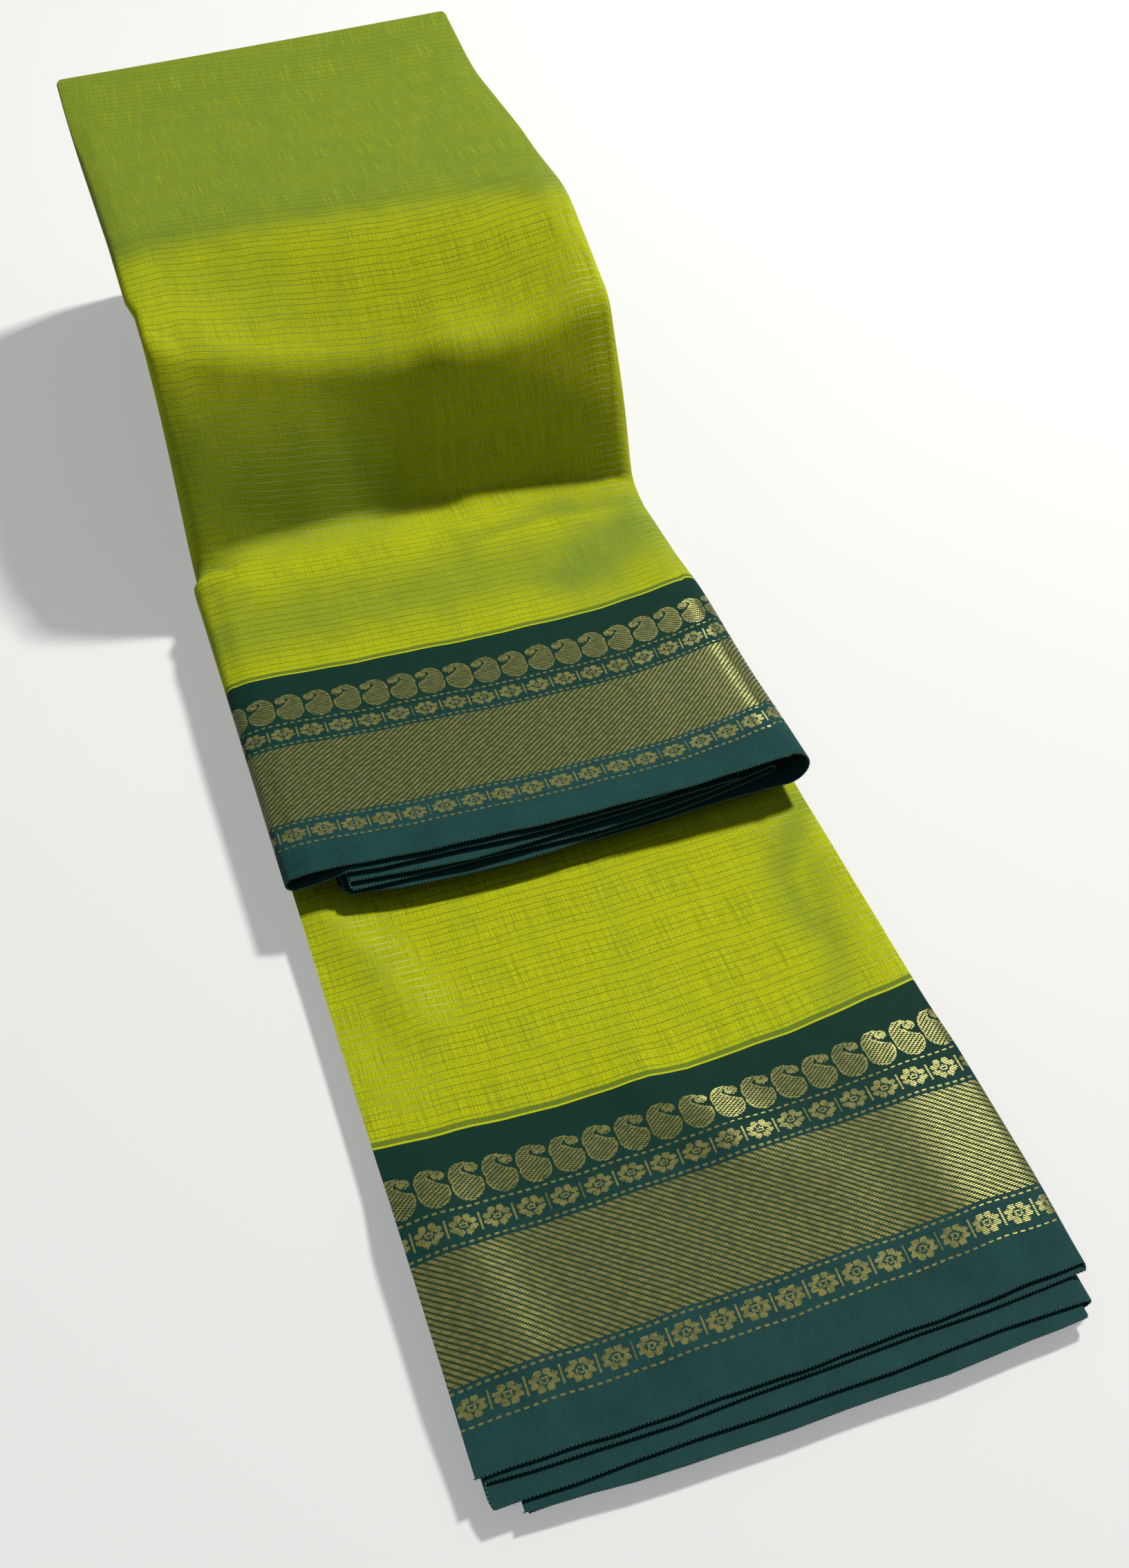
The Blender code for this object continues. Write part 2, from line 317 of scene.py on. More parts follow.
CREASES = (
    Crease("right_ridge", Half.LOWER, (0.345, -0.21), (0.375, -0.30), 0.014, 0.0008),
    Crease("right_ridge_branch", Half.LOWER, (0.24, -0.240), (0.36, -0.290), 0.010, 0.0002),
    Crease("left_ridge", Half.LOWER, (-0.44, -0.235), (-0.40, -0.285), 0.012, 0.0024),
    Crease("paisley_ridge", Half.LOWER, (-0.03, -0.216), (0.05, -0.243), 0.011, 0.0022),
    Crease("middle_ridge", Half.LOWER, (0.10, -0.25), (0.20, -0.27), 0.012, 0.0005),
    Crease("left_body_ridge", Half.LOWER, (-0.46, -0.115), (-0.36, -0.17), 0.009, 0.0015, 0.1),
    Crease("left_body_shine", Half.LOWER, (-0.41, -0.118), (-0.31, -0.165), 0.006, shine=0.8),
    Crease("left_foot_shine", Half.LOWER, (-0.48, -0.165), (-0.42, -0.195), 0.009, shine=0.4),
    Crease("right_edge_fall", Half.LOWER, (0.50, -0.12), (0.50, -0.31), 0.007, -0.0002, shine=0.6),
    Crease("right_top_shine", Half.LOWER, (0.28, -0.118), (0.44, -0.128), 0.006, shine=0.5),
    Crease("right_shade", Half.LOWER, (0.49, -0.122), (0.38, -0.150), 0.007, -0.0006, 0.55),
    Crease("right_shade_turn", Half.LOWER, (0.38, -0.150), (0.375, -0.178), 0.006, -0.0004, 0.45),
    Crease("right_shade_low", Half.LOWER, (0.45, -0.152), (0.37, -0.205), 0.006, -0.0005, 0.45),
    Crease("slope_ridge", Half.UPPER, (0.14, 0.090), (0.49, 0.067), 0.010, 0.0046, bundled=True),
    Crease("left_pouch", Half.UPPER, (-0.42, 0.088), (-0.22, 0.082), 0.015, 0.0026, bundled=True),
    Crease("left_slope_shade", Half.UPPER, (-0.44, 0.080), (-0.10, 0.076), 0.018, green=0.62),
    Crease("right_swell", Half.UPPER, (0.14, 0.0660), (0.44, 0.0570), 0.008, 0.0032, bundled=True),
    Crease("hump_left_fall", Half.UPPER, (-0.54, 0.124), (-0.42, 0.108), 0.007, -0.0020, 0.2, bundled=True),
    Crease("valley_swell", Half.UPPER, (-0.42, 0.042), (0.30, 0.034), 0.013, 0.0014, bundled=True),
    Crease("left_pinch", Half.UPPER, (-0.52, 0.064), (-0.43, 0.060), 0.0035, -0.0022, 0.7, bundled=True),
    Crease("left_pinch_low", Half.UPPER, (-0.52, 0.049), (-0.45, 0.047), 0.003, -0.0015, 0.6, bundled=True),
    Crease("valley_shade", Half.UPPER, (0.50, 0.0425), (0.27, 0.0475), 0.0055, -0.0004, 0.7),
    Crease("valley_shade_turn", Half.UPPER, (0.27, 0.0475), (0.09, 0.040), 0.005, -0.0003, 0.6),
    Crease("valley_shade_end", Half.UPPER, (0.09, 0.040), (0.04, 0.022), 0.009, green=0.5),
    Crease("right_flat_shade", Half.UPPER, (0.46, 0.026), (0.28, 0.008), 0.020, green=0.95, shine=0.2),
    Crease("hump_left_shade", Half.UPPER, (-0.46, 0.142), (-0.22, 0.128), 0.022, green=0.24),
    Crease("left_flat_shade", Half.UPPER, (-0.45, 0.034), (-0.40, 0.010), 0.012, green=0.55),
    Crease("upper_right_lift", Half.UPPER, (0.53, -0.01), (0.53, -0.11), 0.030, 0.0010),
    Crease("flat_shade", Half.UPPER, (-0.45, 0.019), (0.45, 0.015), 0.019, green=0.66),
    Crease("right_flat_shine", Half.UPPER, (0.48, 0.040), (0.48, -0.010), 0.008, shine=0.45),
    Crease("slope_shine", Half.UPPER, (-0.30, 0.080), (0.46, 0.072), 0.022, shine=0.42),
    Crease("right_hump_shine", Half.UPPER, (0.49, 0.150), (0.49, 0.100), 0.007, shine=0.5),
    Crease("right_slope_shine", Half.UPPER, (0.47, 0.095), (0.45, 0.060), 0.012, shine=0.8),
)

LOWER_DRIFT = BorderDrift(
    (0.03, 0.163, 0.365, 0.568, 0.770, 0.905, 0.986),
    150.0,
    (
        (20.0, (1.8, 0.9, -0.1, -0.2, -0.3, 0.1, 0.6)),
        (66.0, (2.3, 1.3, -0.3, -0.3, -0.5, 0.3, 0.7)),
        (106.0, (-0.9, 0.6, 2.7, 2.8, 2.0, -0.7, -2.0)),
    ),
)
UPPER_DRIFT = BorderDrift(
    (0.0, 0.163, 0.365, 0.568, 0.770, 0.905, 0.986),
    170.0,
    (
        (20.0, (2.0, 2.3, 3.0, 2.4, 1.8, -0.5, -3.5)),
        (73.0, (7.0, 6.7, 6.7, 6.2, 5.0, 1.7, -1.5)),
        (106.0, (9.5, 9.0, 9.0, 8.0, 6.0, 4.2, 0.2)),
    ),
)


def crease_rise(half: Half, place: np.ndarray, y: np.ndarray, bundled: bool = False) -> Number:
    """The rise in metres that one half's creases give, of the bundled creases or of the others."""
    chosen = [crease for crease in CREASES if crease.half is half and crease.bundled is bundled]
    return sum(crease.rise * crease.strength(place, y) for crease in chosen)


def crease_tones(half: Half, place: np.ndarray, y: np.ndarray) -> np.ndarray:
    """The painted shade and the painted glint, each from 0 to 1, that one half's creases give at these
    places.

    Args:
        half: the half.
        place: shares of the width from the middle line.
        y: places along the strip.

    Returns:
        Two lines of values, one for each tone.
    """
    chosen = [crease for crease in CREASES if crease.half is half]
    tones = [np.array([[crease.green], [crease.shine]]) * crease.strength(place, y) for crease in chosen]
    return np.max(tones, axis=0)


@dataclass
class StripProfile:
    """The strip's outer face from the side, worked out at evenly spaced shares of its width.

    Fields:
        bends: the bends from the lower selvedge to the upper one.
        slices: how many parts the width is cut into, between which the face is interpolated.
        lower_stack: how high the lower half's layers lie.
        rest_gap: the gap left between the two halves where one rests on the other.
        solid_thickness: the thickness of the cloth in the solid, which the layers keep clear.
        layer_count: how many layers each half has.
    """

    bends: tuple[Bend, ...] = BENDS
    slices: int = 40
    lower_stack: float = 0.01115
    rest_gap: float = 0.0006
    solid_thickness: float = 0.001
    layer_count: int = 8
    points: np.ndarray = field(init=False)
    inwards: np.ndarray = field(init=False)
    pitches: np.ndarray = field(init=False)
    climbs: np.ndarray = field(init=False)

    def __post_init__(self) -> None:
        """Works out every slice."""
        made = [self.slice_rows(number / self.slices) for number in range(self.slices + 1)]
        self.points, self.inwards, self.pitches = (
            np.array([[row[place] for row in rows] for rows in made]) for place in range(3)
        )
        self.climbs = np.array([row[3] for row in made[0]])

    def slice_rows(self, share: float) -> list[tuple[np.ndarray, np.ndarray, float, float]]:
        """The rows of the face at one share of the width.

        Args:
            share: 0 at the left edge, 1 at the right.

        Returns:
            For each row its point, inward normal, layer pitch and climb.
        """
        corners = [np.array([across(bend.y, share), across(bend.z, share)]) for bend in self.bends]
        way = unit(corners[1] - corners[0])
        rows = [(corners[0], turned(way, math.pi / 2), self.bends[0].pitch, 0.0)]
        for index, bend in enumerate(self.bends[1:], 1):
            turn = []
            end = corners[index]
            if index < len(self.bends) - 1:
                turn = self.rounded(corners[index - 1 : index + 2], across(bend.radius, share), bend.arc_rows)
                end = turn[0][0]
            start, _, pitch_before, climb_before = rows[-1]
            inward = turned(unit(end - start), math.pi / 2)
            for way_share in self.run_shares(bend.runs):
                point = blend(start, end, way_share)
                pitch = self.run_pitch(pitch_before, bend.pitch, way_share, point)
                rows.append((point, inward, pitch, blend(climb_before, bend.climb[0], way_share)))
            last_pitch = self.run_pitch(pitch_before, bend.pitch, 1.0, end)
            for step, (point, inward) in enumerate(turn[1:], 1):
                rows.append((point, inward, last_pitch, blend(*bend.climb, step / bend.arc_rows)))
        return rows

    @staticmethod
    def run_shares(runs: tuple[tuple[float, int], ...]) -> list[float]:
        """Where the rows of a straight run lie, as shares of it. The last is its end.

        Args:
            runs: the run's stretches, each with the share where it ends and its rows.

        Returns:
            The shares.
        """
        shares = []
        before = 0.0
        for end, count in runs or ((1.0, 1),):
            shares += [blend(before, end, step / count) for step in range(1, count + 1)]
            before = end
        return shares

    @staticmethod
    def rounded(corners: list[np.ndarray], radius: float, rows: int) -> list[tuple[np.ndarray, np.ndarray]]:
        """The points and inward normals round a corner.

        Args:
            corners: the corner before, the corner itself and the corner after.
            radius: its radius.
            rows: how many steps the turn takes.

        Returns:
            rows + 1 pairs of point and inward normal.
        """
        before, corner, after = corners
        way_in, way_out = unit(corner - before), unit(after - corner)
        angle = math.atan2(way_in[0] * way_out[1] - way_in[1] * way_out[0], float(way_in @ way_out))
        first = corner - way_in * radius * math.tan(abs(angle) / 2)
        centre = first + turned(way_in, math.pi / 2) * math.copysign(radius, angle)
        parts = [angle * step / rows for step in range(rows + 1)]
        return [(centre + turned(first - centre, part), turned(way_in, part + math.pi / 2)) for part in parts]

    def run_pitch(self, before: float, pitch: float, way: float, point: np.ndarray) -> float:
        """The layers' pitch along a run. Where the strip rests on itself they fill the height to it.

        Args:
            before: the pitch at the run's start.
            pitch: the pitch at its end, or 0 where the strip rests on itself.
            way: the share of the run.
            point: the face's point there.

        Returns:
            The pitch.
        """
        if pitch:
            return blend(before, pitch, way)
        height = point[1] - self.lower_stack - self.rest_gap - self.solid_thickness
        resting = min(height / (self.layer_count - 1), REST_PITCH_MOST)
        return float(blend(before, resting, soft_step(way)))

    def face(self, shares: np.ndarray) -> list[np.ndarray]:
        """The face at each row, each at its own share of the width.

        Args:
            shares: one share for each row.

        Returns:
            The points, inward normals and pitches of the rows.
        """
        place = np.clip(shares, 0.0, 1.0) * self.slices
        low = np.minimum(place.astype(int), self.slices - 1)
        way = place - low
        rows = np.arange(len(shares))
        found = []
        for table in (self.points, self.inwards, self.pitches):
            part = way if table.ndim == 2 else way[:, None]
            found.append(table[low, rows] * (1 - part) + table[low + 1, rows] * part)
        return found


@dataclass(frozen=True)
class Column:
    """One line of points along the strip: a place on a layer, or a place on the fold between two."""

    layer: int
    share: float
    fold: Fold | None = None
    angle: float = 0.0


@dataclass(frozen=True)
class Rows:
    """What the strip's section depends on at each row of points.

    Fields:
        upper: how far the row belongs to the upper half.
        pitch: the layers' pitch.
        y: its place along the strip.
    """

    upper: np.ndarray
    pitch: np.ndarray
    y: np.ndarray


@dataclass
class SariSheet:
    """The sari's one sheet of cloth, folded to and fro across the strip and doubled along it.

    Every ramp runs along the strip's Y unless its line says otherwise.

    Fields:
        cloth: the thickness of the cloth.
        edge_roll, edge_roll_side, edge_roll_far: how far the upper half's top layer rounds off at the side
            edges, over which share of the width, and where that fades out.
        loop_dip_levels, loop_dip: the second layer's dip at the left loop, across the width.
        slide, slide_ramp: how far the lower half has slid to the right under the hump.
        shift_ramp: how much a selvedge's shift has faded, by the distance from it.
        brocade_swell, brocade: how much thicker the lower stack is where its borders lie, and where.
        edge_wave, edge_sway: how far the selvedges wave, in short waves and in long ones. The long ones
            are weaker at the lower selvedge, and the layers in straight_layers don't have them.
        left_spread, right_spread, far_spread: how far the upper half spreads sideways, the last to the
            right behind the hump, each with its ramp.
        slope_inset, slope: how far the slope's left edge is drawn in, and where.
        crisp_share, crisp: how much flatter the side folds are pressed, and where.
        far_shade_start: where the painted shade, a darker and greener tone, starts past the hump's top, with
            its fade, its ramp in height and its ramp in climb.
        flat_width, stretch: the cloth's width from selvedge to selvedge, and where in it, as shares, the
            weave takes up the rest.
        u_at_middle: the U on the middle line of the lower half and of the upper half.
        even_share: how evenly a layer's columns lie. The rest of them crowd towards its ends.
        sharp_angle: the least angle of an edge that is drawn sharp, in degrees.
    """

    profile: StripProfile
    cloth: float = 0.0007
    edge_roll: float = 0.0018
    edge_roll_side: Ramp = Ramp(0.0, 0.055)
    edge_roll_far: Ramp = Ramp(0.26, 0.05)
    loop_dip_levels: float = 3.2
    loop_dip: Ramp = Ramp(-0.43, -0.035)
    slide: float = 0.0105
    slide_ramp: Ramp = Ramp(0.0, 0.30)
    shift_ramp: Ramp = Ramp(0.0, 0.09)
    brocade_swell: float = 0.0022
    brocade: tuple[Ramp, ...] = (Ramp(-0.212, -0.03), Ramp(-0.318, 0.035))
    edge_wave: float = 0.00035
    edge_wave_fade: float = 0.012
    edge_waves: tuple[Ripple, ...] = (Ripple(0.0075, 1.7, 0.6), Ripple(0.0031, 3.91, 0.4))
    edge_sway: float = 0.0007
    edge_sway_fade: float = 0.02
    edge_sway_low_share: float = 0.4
    edge_sways: tuple[Ripple, ...] = (Ripple(0.016, 3.23, 1.0), Ripple(0.027, 1.36, 0.8))
    straight_layers: tuple[int, ...] = (1, 8)
    left_spread: float = 0.0022
    left_spread_ramp: Ramp = Ramp(0.10, -0.05)
    right_spread: float = 0.0013
    right_spread_ramp: Ramp = Ramp(0.010, -0.03)
    far_spread: float = 0.0014
    far_spread_ramp: Ramp = Ramp(0.170, 0.04)
    slope_inset: float = 0.0020
    slope: tuple[Ramp, ...] = (Ramp(0.056, 0.006), Ramp(0.133, -0.010))
    crisp_share: float = 0.45
    crisp: Ramp = Ramp(0.24, 0.05)
    # Painted shade past the hump's top: a darker, greener tone that fades in by height and by climb.
    far_shade_start: Triple = (0.150, 0.1495, 0.134)
    far_shade_fade: float = 0.022
    far_shade_height: Ramp = Ramp(0.03, 0.06)
    far_shade_climb: Ramp = Ramp(0.0, 1 / 3)
    flat_width: float = 1.2
    stretch: Ramp = Ramp(0.3, 0.4)
    u_at_middle: Pair = (0.0, 0.45)
    even_share: float = 0.55
    sharp_angle: float = 48.0
    columns: list[Column] = field(init=False)
    upper: np.ndarray = field(init=False)
    points: np.ndarray = field(init=False)
    weave: np.ndarray = field(init=False)
    tones: np.ndarray = field(init=False)

    def __post_init__(self) -> None:
        """Lists the columns and works out every point, its place in the weave and its tones."""
        self.columns = self.list_columns()
        self.upper = soft_step(self.profile.climbs)
        placed = [self.column_points(column) for column in self.columns]
        self.points = np.array([points for points, _ in placed])
        self.tones = np.array([tones for _, tones in placed])
        self.weave = self.weave_places()

    def list_columns(self) -> list[Column]:
        """The columns in the order of the cloth, from one cut end to the other.

        Returns:
            The columns.
        """
        columns = []
        order = [FOLDS[0].first] + [fold.second for fold in FOLDS]
        for place, number in enumerate(order):
            shares = self.column_shares(LAYERS[number].columns)
            columns += [Column(number, share) for share in (shares[::-1] if place % 2 else shares)]
            for fold in FOLDS[place : place + 1]:
                angles = [math.pi * step / (fold.steps + 1) for step in range(1, fold.steps + 1)]
                columns += [Column(fold.first, 0.0, fold, angle) for angle in angles]
        return columns

    def column_shares(self, count: int) -> np.ndarray:
        """Where a layer's columns lie, closer together towards its ends."""
        even = np.linspace(0.0, 1.0, count)
        return blend((1 - np.cos(even * math.pi)) / 2, even, self.even_share)

    @staticmethod
    def fold_at(layer: int, side: int) -> Fold | None:
        """The fold that ends this layer on this side, or None at a cut end."""
        found = [fold for fold in FOLDS if side == fold.side and layer in (fold.first, fold.second)]
        return found[0] if found else None

    def layer_depth(self, layer: int, place: np.ndarray, rows: Rows) -> np.ndarray:
        """How far a layer's middle surface lies in from the strip's outer face.

        Args:
            layer: the layer's number.
            place: shares of the width from the middle line, one for each row.
            rows: the rows.

        Returns:
            The depth at each row.
        """
        upper, lower, y, last = rows.upper, 1 - rows.upper, rows.y, self.profile.layer_count
        swell = self.brocade_swell * math.prod(ramp.at(y) for ramp in self.brocade)
        depth = self.cloth / 2 + (layer - 1) * rows.pitch + lower * swell * (layer - 1) / (last - 1)
        depth = depth - upper * crease_rise(Half.UPPER, place, y, True)
        if layer == 1:
            side = self.edge_roll_side.at(np.minimum(place + 0.5, 0.5 - place))
            depth = depth + upper * self.edge_roll * (1 - self.edge_roll_far.at(y)) * (1 - side) ** 2
            depth = depth - upper * crease_rise(Half.UPPER, place, y)
        if layer == 2:
            dip = self.loop_dip_levels * rows.pitch * self.loop_dip.at(place)
            depth = depth + upper * dip * (1 - self.crisp.at(y))
        if layer == last:
            depth = depth + lower * crease_rise(Half.LOWER, place, y)
        return depth

    def span_place(self, layer: int, share: float, rows: Rows) -> np.ndarray:
        """The place of a column on a layer, short of the layer's folds by their reach.

        Args:
            layer: the layer's number.
            share: 0 at the layer's left end, 1 at its right.
            rows: the rows.

        Returns:
            Four lines of values: x, depth, the lower selvedge's shift and the upper selvedge's shift.
        """
        ends = []
        for side, low, high in zip((-1, 1), LAYERS[layer].low_ends, LAYERS[layer].high_ends):
            fold = self.fold_at(layer, side)
            reach = self.fold_reach(fold, rows) if fold else 0.0
            ends.append(blend(low, high, rows.upper) * STRIP_WIDTH - side * reach)
        if layer in (1, 2):
            inset = self.slope_inset * math.prod(ramp.at(rows.y) for ramp in self.slope)
            ends[0] = ends[0] + (inset - self.left_spread * self.left_spread_ramp.at(rows.y)) * rows.upper
        if layer in (1, 6):
            near = self.right_spread * self.right_spread_ramp.at(rows.y)
            far = self.far_spread * self.far_spread_ramp.at(rows.y)
            ends[1] = ends[1] + (near + far) * rows.upper
        x = blend(ends[0], ends[1], share)
        place = x / STRIP_WIDTH
        shifts = [across(edge, place + 0.5) for edge in (LAYERS[layer].low_edge, LAYERS[layer].high_edge)]
        return np.array([x, self.layer_depth(layer, place, rows), *shifts])

    def fold_reach(self, fold: Fold, rows: Rows) -> np.ndarray:
        """How far a fold stands out sideways at each row, in metres.

        Args:
            fold: the fold.
            rows: the rows.

        Returns:
            The reach at each row.
        """
        side = 0 if fold.side < 0 else 1
        place = blend(LAYERS[fold.first].low_ends[side], LAYERS[fold.first].high_ends[side], rows.upper)
        first, second = (self.layer_depth(layer, place, rows) for layer in (fold.first, fold.second))
        return fold.reach * np.abs(second - first) / 2 * (1 - self.crisp_share * self.crisp.at(rows.y))

    def section_place(self, column: Column, rows: Rows) -> np.ndarray:
        """The place of any column, on a layer or on a fold, which is half an ellipse between two layers.

        Args:
            column: the column.
            rows: the rows.

        Returns:
            The same four lines of values as span_place.
        """
        fold = column.fold
        if not fold:
            return self.span_place(column.layer, column.share, rows)
        share = 0.0 if fold.side < 0 else 1.0
        start, end = (self.span_place(layer, share, rows) for layer in (fold.first, fold.second))
        place = blend(start, end, (1 - math.cos(column.angle)) / 2)
        place[0] += fold.side * self.fold_reach(fold, rows) * math.sin(column.angle)
        return place

    def column_points(self, column: Column) -> tuple[np.ndarray, np.ndarray]:
        """The points of one column, from the lower selvedge to the upper one.

        Args:
            column: the column.

        Returns:
            (the points, the painted shade and the painted glint at each).
        """
        points, _, pitch = self.profile.face(np.full(len(self.upper), 0.5))
        guess = self.section_place(column, Rows(self.upper, pitch, points[:, 0]))
        face, inward, pitch = self.profile.face(guess[0] / STRIP_WIDTH + 0.5)
        y, z = face[:, 0], face[:, 1]
        x, depth, low_shift, high_shift = self.section_place(column, Rows(self.upper, pitch, y))
        along = self.selvedge_shift(column.layer, face, x, low_shift, high_shift)
        forward = np.stack([inward[:, 1], -inward[:, 0]], axis=1)
        placed = face + inward * depth[:, None] + forward * along[:, None]
        slide = self.slide * self.slide_ramp.at(y) * (1 - self.upper)
        # Painted shade, a darker and greener tone, and painted glint on the zari threads, from the creases;
        # the far zone past the hump's top gets painted shade too.
        low_tones, high_tones = (crease_tones(half, x / STRIP_WIDTH, y) for half in Half)
        green, shine = blend(low_tones, high_tones, self.upper)
        boundary = across(self.far_shade_start, x / STRIP_WIDTH + 0.5)
        far = soft_step((y - boundary) / self.far_shade_fade + 0.5)
        far = far * self.far_shade_height.at(z) * self.far_shade_climb.at(self.profile.climbs)
        return np.column_stack([x + slide, placed]), np.column_stack([np.maximum(green, far), shine])

    def selvedge_shift(
        self, layer: int, face: np.ndarray, x: np.ndarray, low: np.ndarray, high: np.ndarray
    ) -> np.ndarray:
        """How far the rows near each selvedge move along the strip, with a little wave in the edge.

        Args:
            layer: the layer's number.
            face: the points of the outer face at the rows.
            x: the column's place across the strip.
            low, high: the shifts of the lower and the upper selvedge.

        Returns:
            The move at each row.
        """
        from_low = np.concatenate([[0.0], np.cumsum(step_lengths(face, 0))])
        wave = self.edge_wave * sum(ripple.at(x, layer) for ripple in self.edge_waves)
        sway = self.edge_sway * sum(ripple.at(x, layer) for ripple in self.edge_sways)
        sway = sway * (layer not in self.straight_layers)
        moves = []
        ends = ((low, from_low, self.edge_sway_low_share), (high, from_low[-1] - from_low, 1.0))
        for shift, away, share in ends:
            waves = wave * np.exp(-away / self.edge_wave_fade)
            waves = waves + sway * share * np.exp(-away / self.edge_sway_fade)
            moves.append(shift * (1 - self.shift_ramp.at(away)) + waves)
        return moves[1] - moves[0]

    def weave_places(self) -> np.ndarray:
        """Each point's place in the flat cloth, as (U, V) in metres.

        U is measured along each row from the middle of the layer that shows: the lower half's top layer
        or the upper half's. V is measured along each column from the nearer selvedge.

        Returns:
            (U, V) at each row of each column.
        """
        columns, rows = self.points.shape[:2]
        u = np.vstack([np.zeros((1, rows)), np.cumsum(step_lengths(self.points, 0), axis=0)])
        shown = zip(self.u_at_middle, (self.profile.layer_count, 1))
        low, high = (at_middle - self.u_of_middle(u, layer) for at_middle, layer in shown)
        v = np.hstack([np.zeros((columns, 1)), np.cumsum(step_lengths(self.points, 1), axis=1)])
        whole = v[:, -1:]
        share = self.points[:, :, 0] / STRIP_WIDTH + 0.5
        from_high = whole - v
        drift = np.where(v < from_high, LOWER_DRIFT.at(share, v), -UPPER_DRIFT.at(share, from_high))
        v = v + (self.flat_width - whole) * self.stretch.at(v / whole) + drift
        return np.stack([u + blend(low, high, self.upper), v], axis=2)

    def u_of_middle(self, u: np.ndarray, layer: int) -> np.ndarray:
        """The U of a layer's middle line at each row, before it is shifted to its place.

        Args:
            u: the U of every point, one line for each column.
            layer: the layer's number.

        Returns:
            The U at each row.
        """
        numbers = [n for n, column in enumerate(self.columns) if column.layer == layer and not column.fold]
        xs, us = self.points[numbers, :, 0], u[numbers]
        order = np.argsort(xs[:, 0])
        return np.array([np.interp(0.0, xs[order, row], us[order, row]) for row in range(u.shape[1])])

    def build(self, name: str, material: bpy.types.Material) -> bpy.types.Object:
        """Makes the sheet as a mesh with its thickness, its UV map and its tones.

        Args:
            name: the piece's name.
            material: its finish.

        Returns:
            The piece.
        """
        columns, rows = self.points.shape[:2]
        mesh = bpy.data.meshes.new(name)
        corner = (np.arange(columns - 1)[:, None] * rows + np.arange(rows - 1)[None, :]).ravel()
        faces = np.stack([corner, corner + 1, corner + rows + 1, corner + rows], axis=1)
        mesh.from_pydata(self.points.reshape(-1, 3).tolist(), [], faces.tolist())
        uv_map = mesh.uv_layers.new(name="weave")
        uv_map.data.foreach_set("uv", self.weave.reshape(-1, 2)[faces.ravel()].ravel())
        # The two tones are painted shade and painted glint, kept at the points for the finish.
        for number, tone in enumerate(("greenness", "shine")):
            attribute = mesh.attributes.new(tone, "FLOAT", "POINT")
            attribute.data.foreach_set("value", self.tones[:, :, number].ravel())
        mesh.materials.append(material)
        flat = add_object(name + "_flat", mesh)
        solidify = flat.modifiers.new("cloth", "SOLIDIFY")
        solidify.thickness = self.cloth
        solidify.offset = 0
        piece = plain_copy(flat, name)
        bpy.data.objects.remove(flat)
        piece.data.shade_smooth()
        piece.data.set_sharp_from_angle(angle=math.radians(self.sharp_angle))
        return piece

    def selvedge_lines(self) -> list[np.ndarray]:
        """The two selvedges, each as a line of points along the cloth."""
        return [self.points[:, 0], self.points[:, -1]]


# ----- Blender's own parts ------------------------------------------------------------------------


def add_object(name: str, data: bpy.types.ID) -> bpy.types.Object:
    """Makes an object of a mesh, curve, light or camera, and puts it in the scene.

    Args:
        name: its name.
        data: the mesh, curve, light or camera.

    Returns:
        The object.
    """
    made = bpy.data.objects.new(name, data)
    bpy.context.scene.collection.objects.link(made)
    return made


def plain_copy(source: bpy.types.Object, name: str) -> bpy.types.Object:
    """A plain mesh object, at the origin, of what the source's modifiers make.

    Args:
        source: the object to evaluate.
        name: the new object's name.

    Returns:
        The new object.
    """
    bpy.context.view_layer.update()
    evaluated = source.evaluated_get(bpy.context.evaluated_depsgraph_get())
    mesh = bpy.data.meshes.new_from_object(evaluated)
    mesh.name = name
    return add_object(name, mesh)


def new_material(name: str) -> tuple[bpy.types.Material, bpy.types.NodeTree, bpy.types.Node]:
    """A new material with its node tree and its shader.

    Args:
        name: the material's name.

    Returns:
        (the material, its node tree, its shader).
    """
    material = bpy.data.materials.new(name)
    material.use_nodes = True
    return material, material.node_tree, material.node_tree.nodes["Principled BSDF"]


def join(tree: bpy.types.NodeTree, value: object, socket: bpy.types.NodeSocket) -> None:
    """Gives an input its value, or links it where the value is an output or a Signal.

    Args:
        tree: the tree.
        value: the value, output or Signal.
        socket: the input.
    """
    source = value.socket if isinstance(value, Signal) else value
    if isinstance(source, bpy.types.NodeSocket):
        tree.links.new(source, socket)
    else:
        socket.default_value = source


def set_inputs(tree: bpy.types.NodeTree, node: bpy.types.Node, inputs: dict) -> None:
    """Gives each of these inputs of a node, listed by name or number, its value or its link."""
    for key, value in inputs.items():
        join(tree, value, node.inputs[key])


def add_node(
    tree: bpy.types.NodeTree, kind: str, inputs: dict | None = None, **settings: object
) -> bpy.types.Node:
    """Adds a node to a tree.

    Args:
        tree: the tree.
        kind: the node's type.
        inputs: the value of each input that is set, or the output or Signal that it is linked to.
        settings: the node's other settings.

    Returns:
        The node.
    """
    node = tree.nodes.new(kind)
    for key, value in settings.items():
        setattr(node, key, value)
    set_inputs(tree, node, inputs or {})
    return node


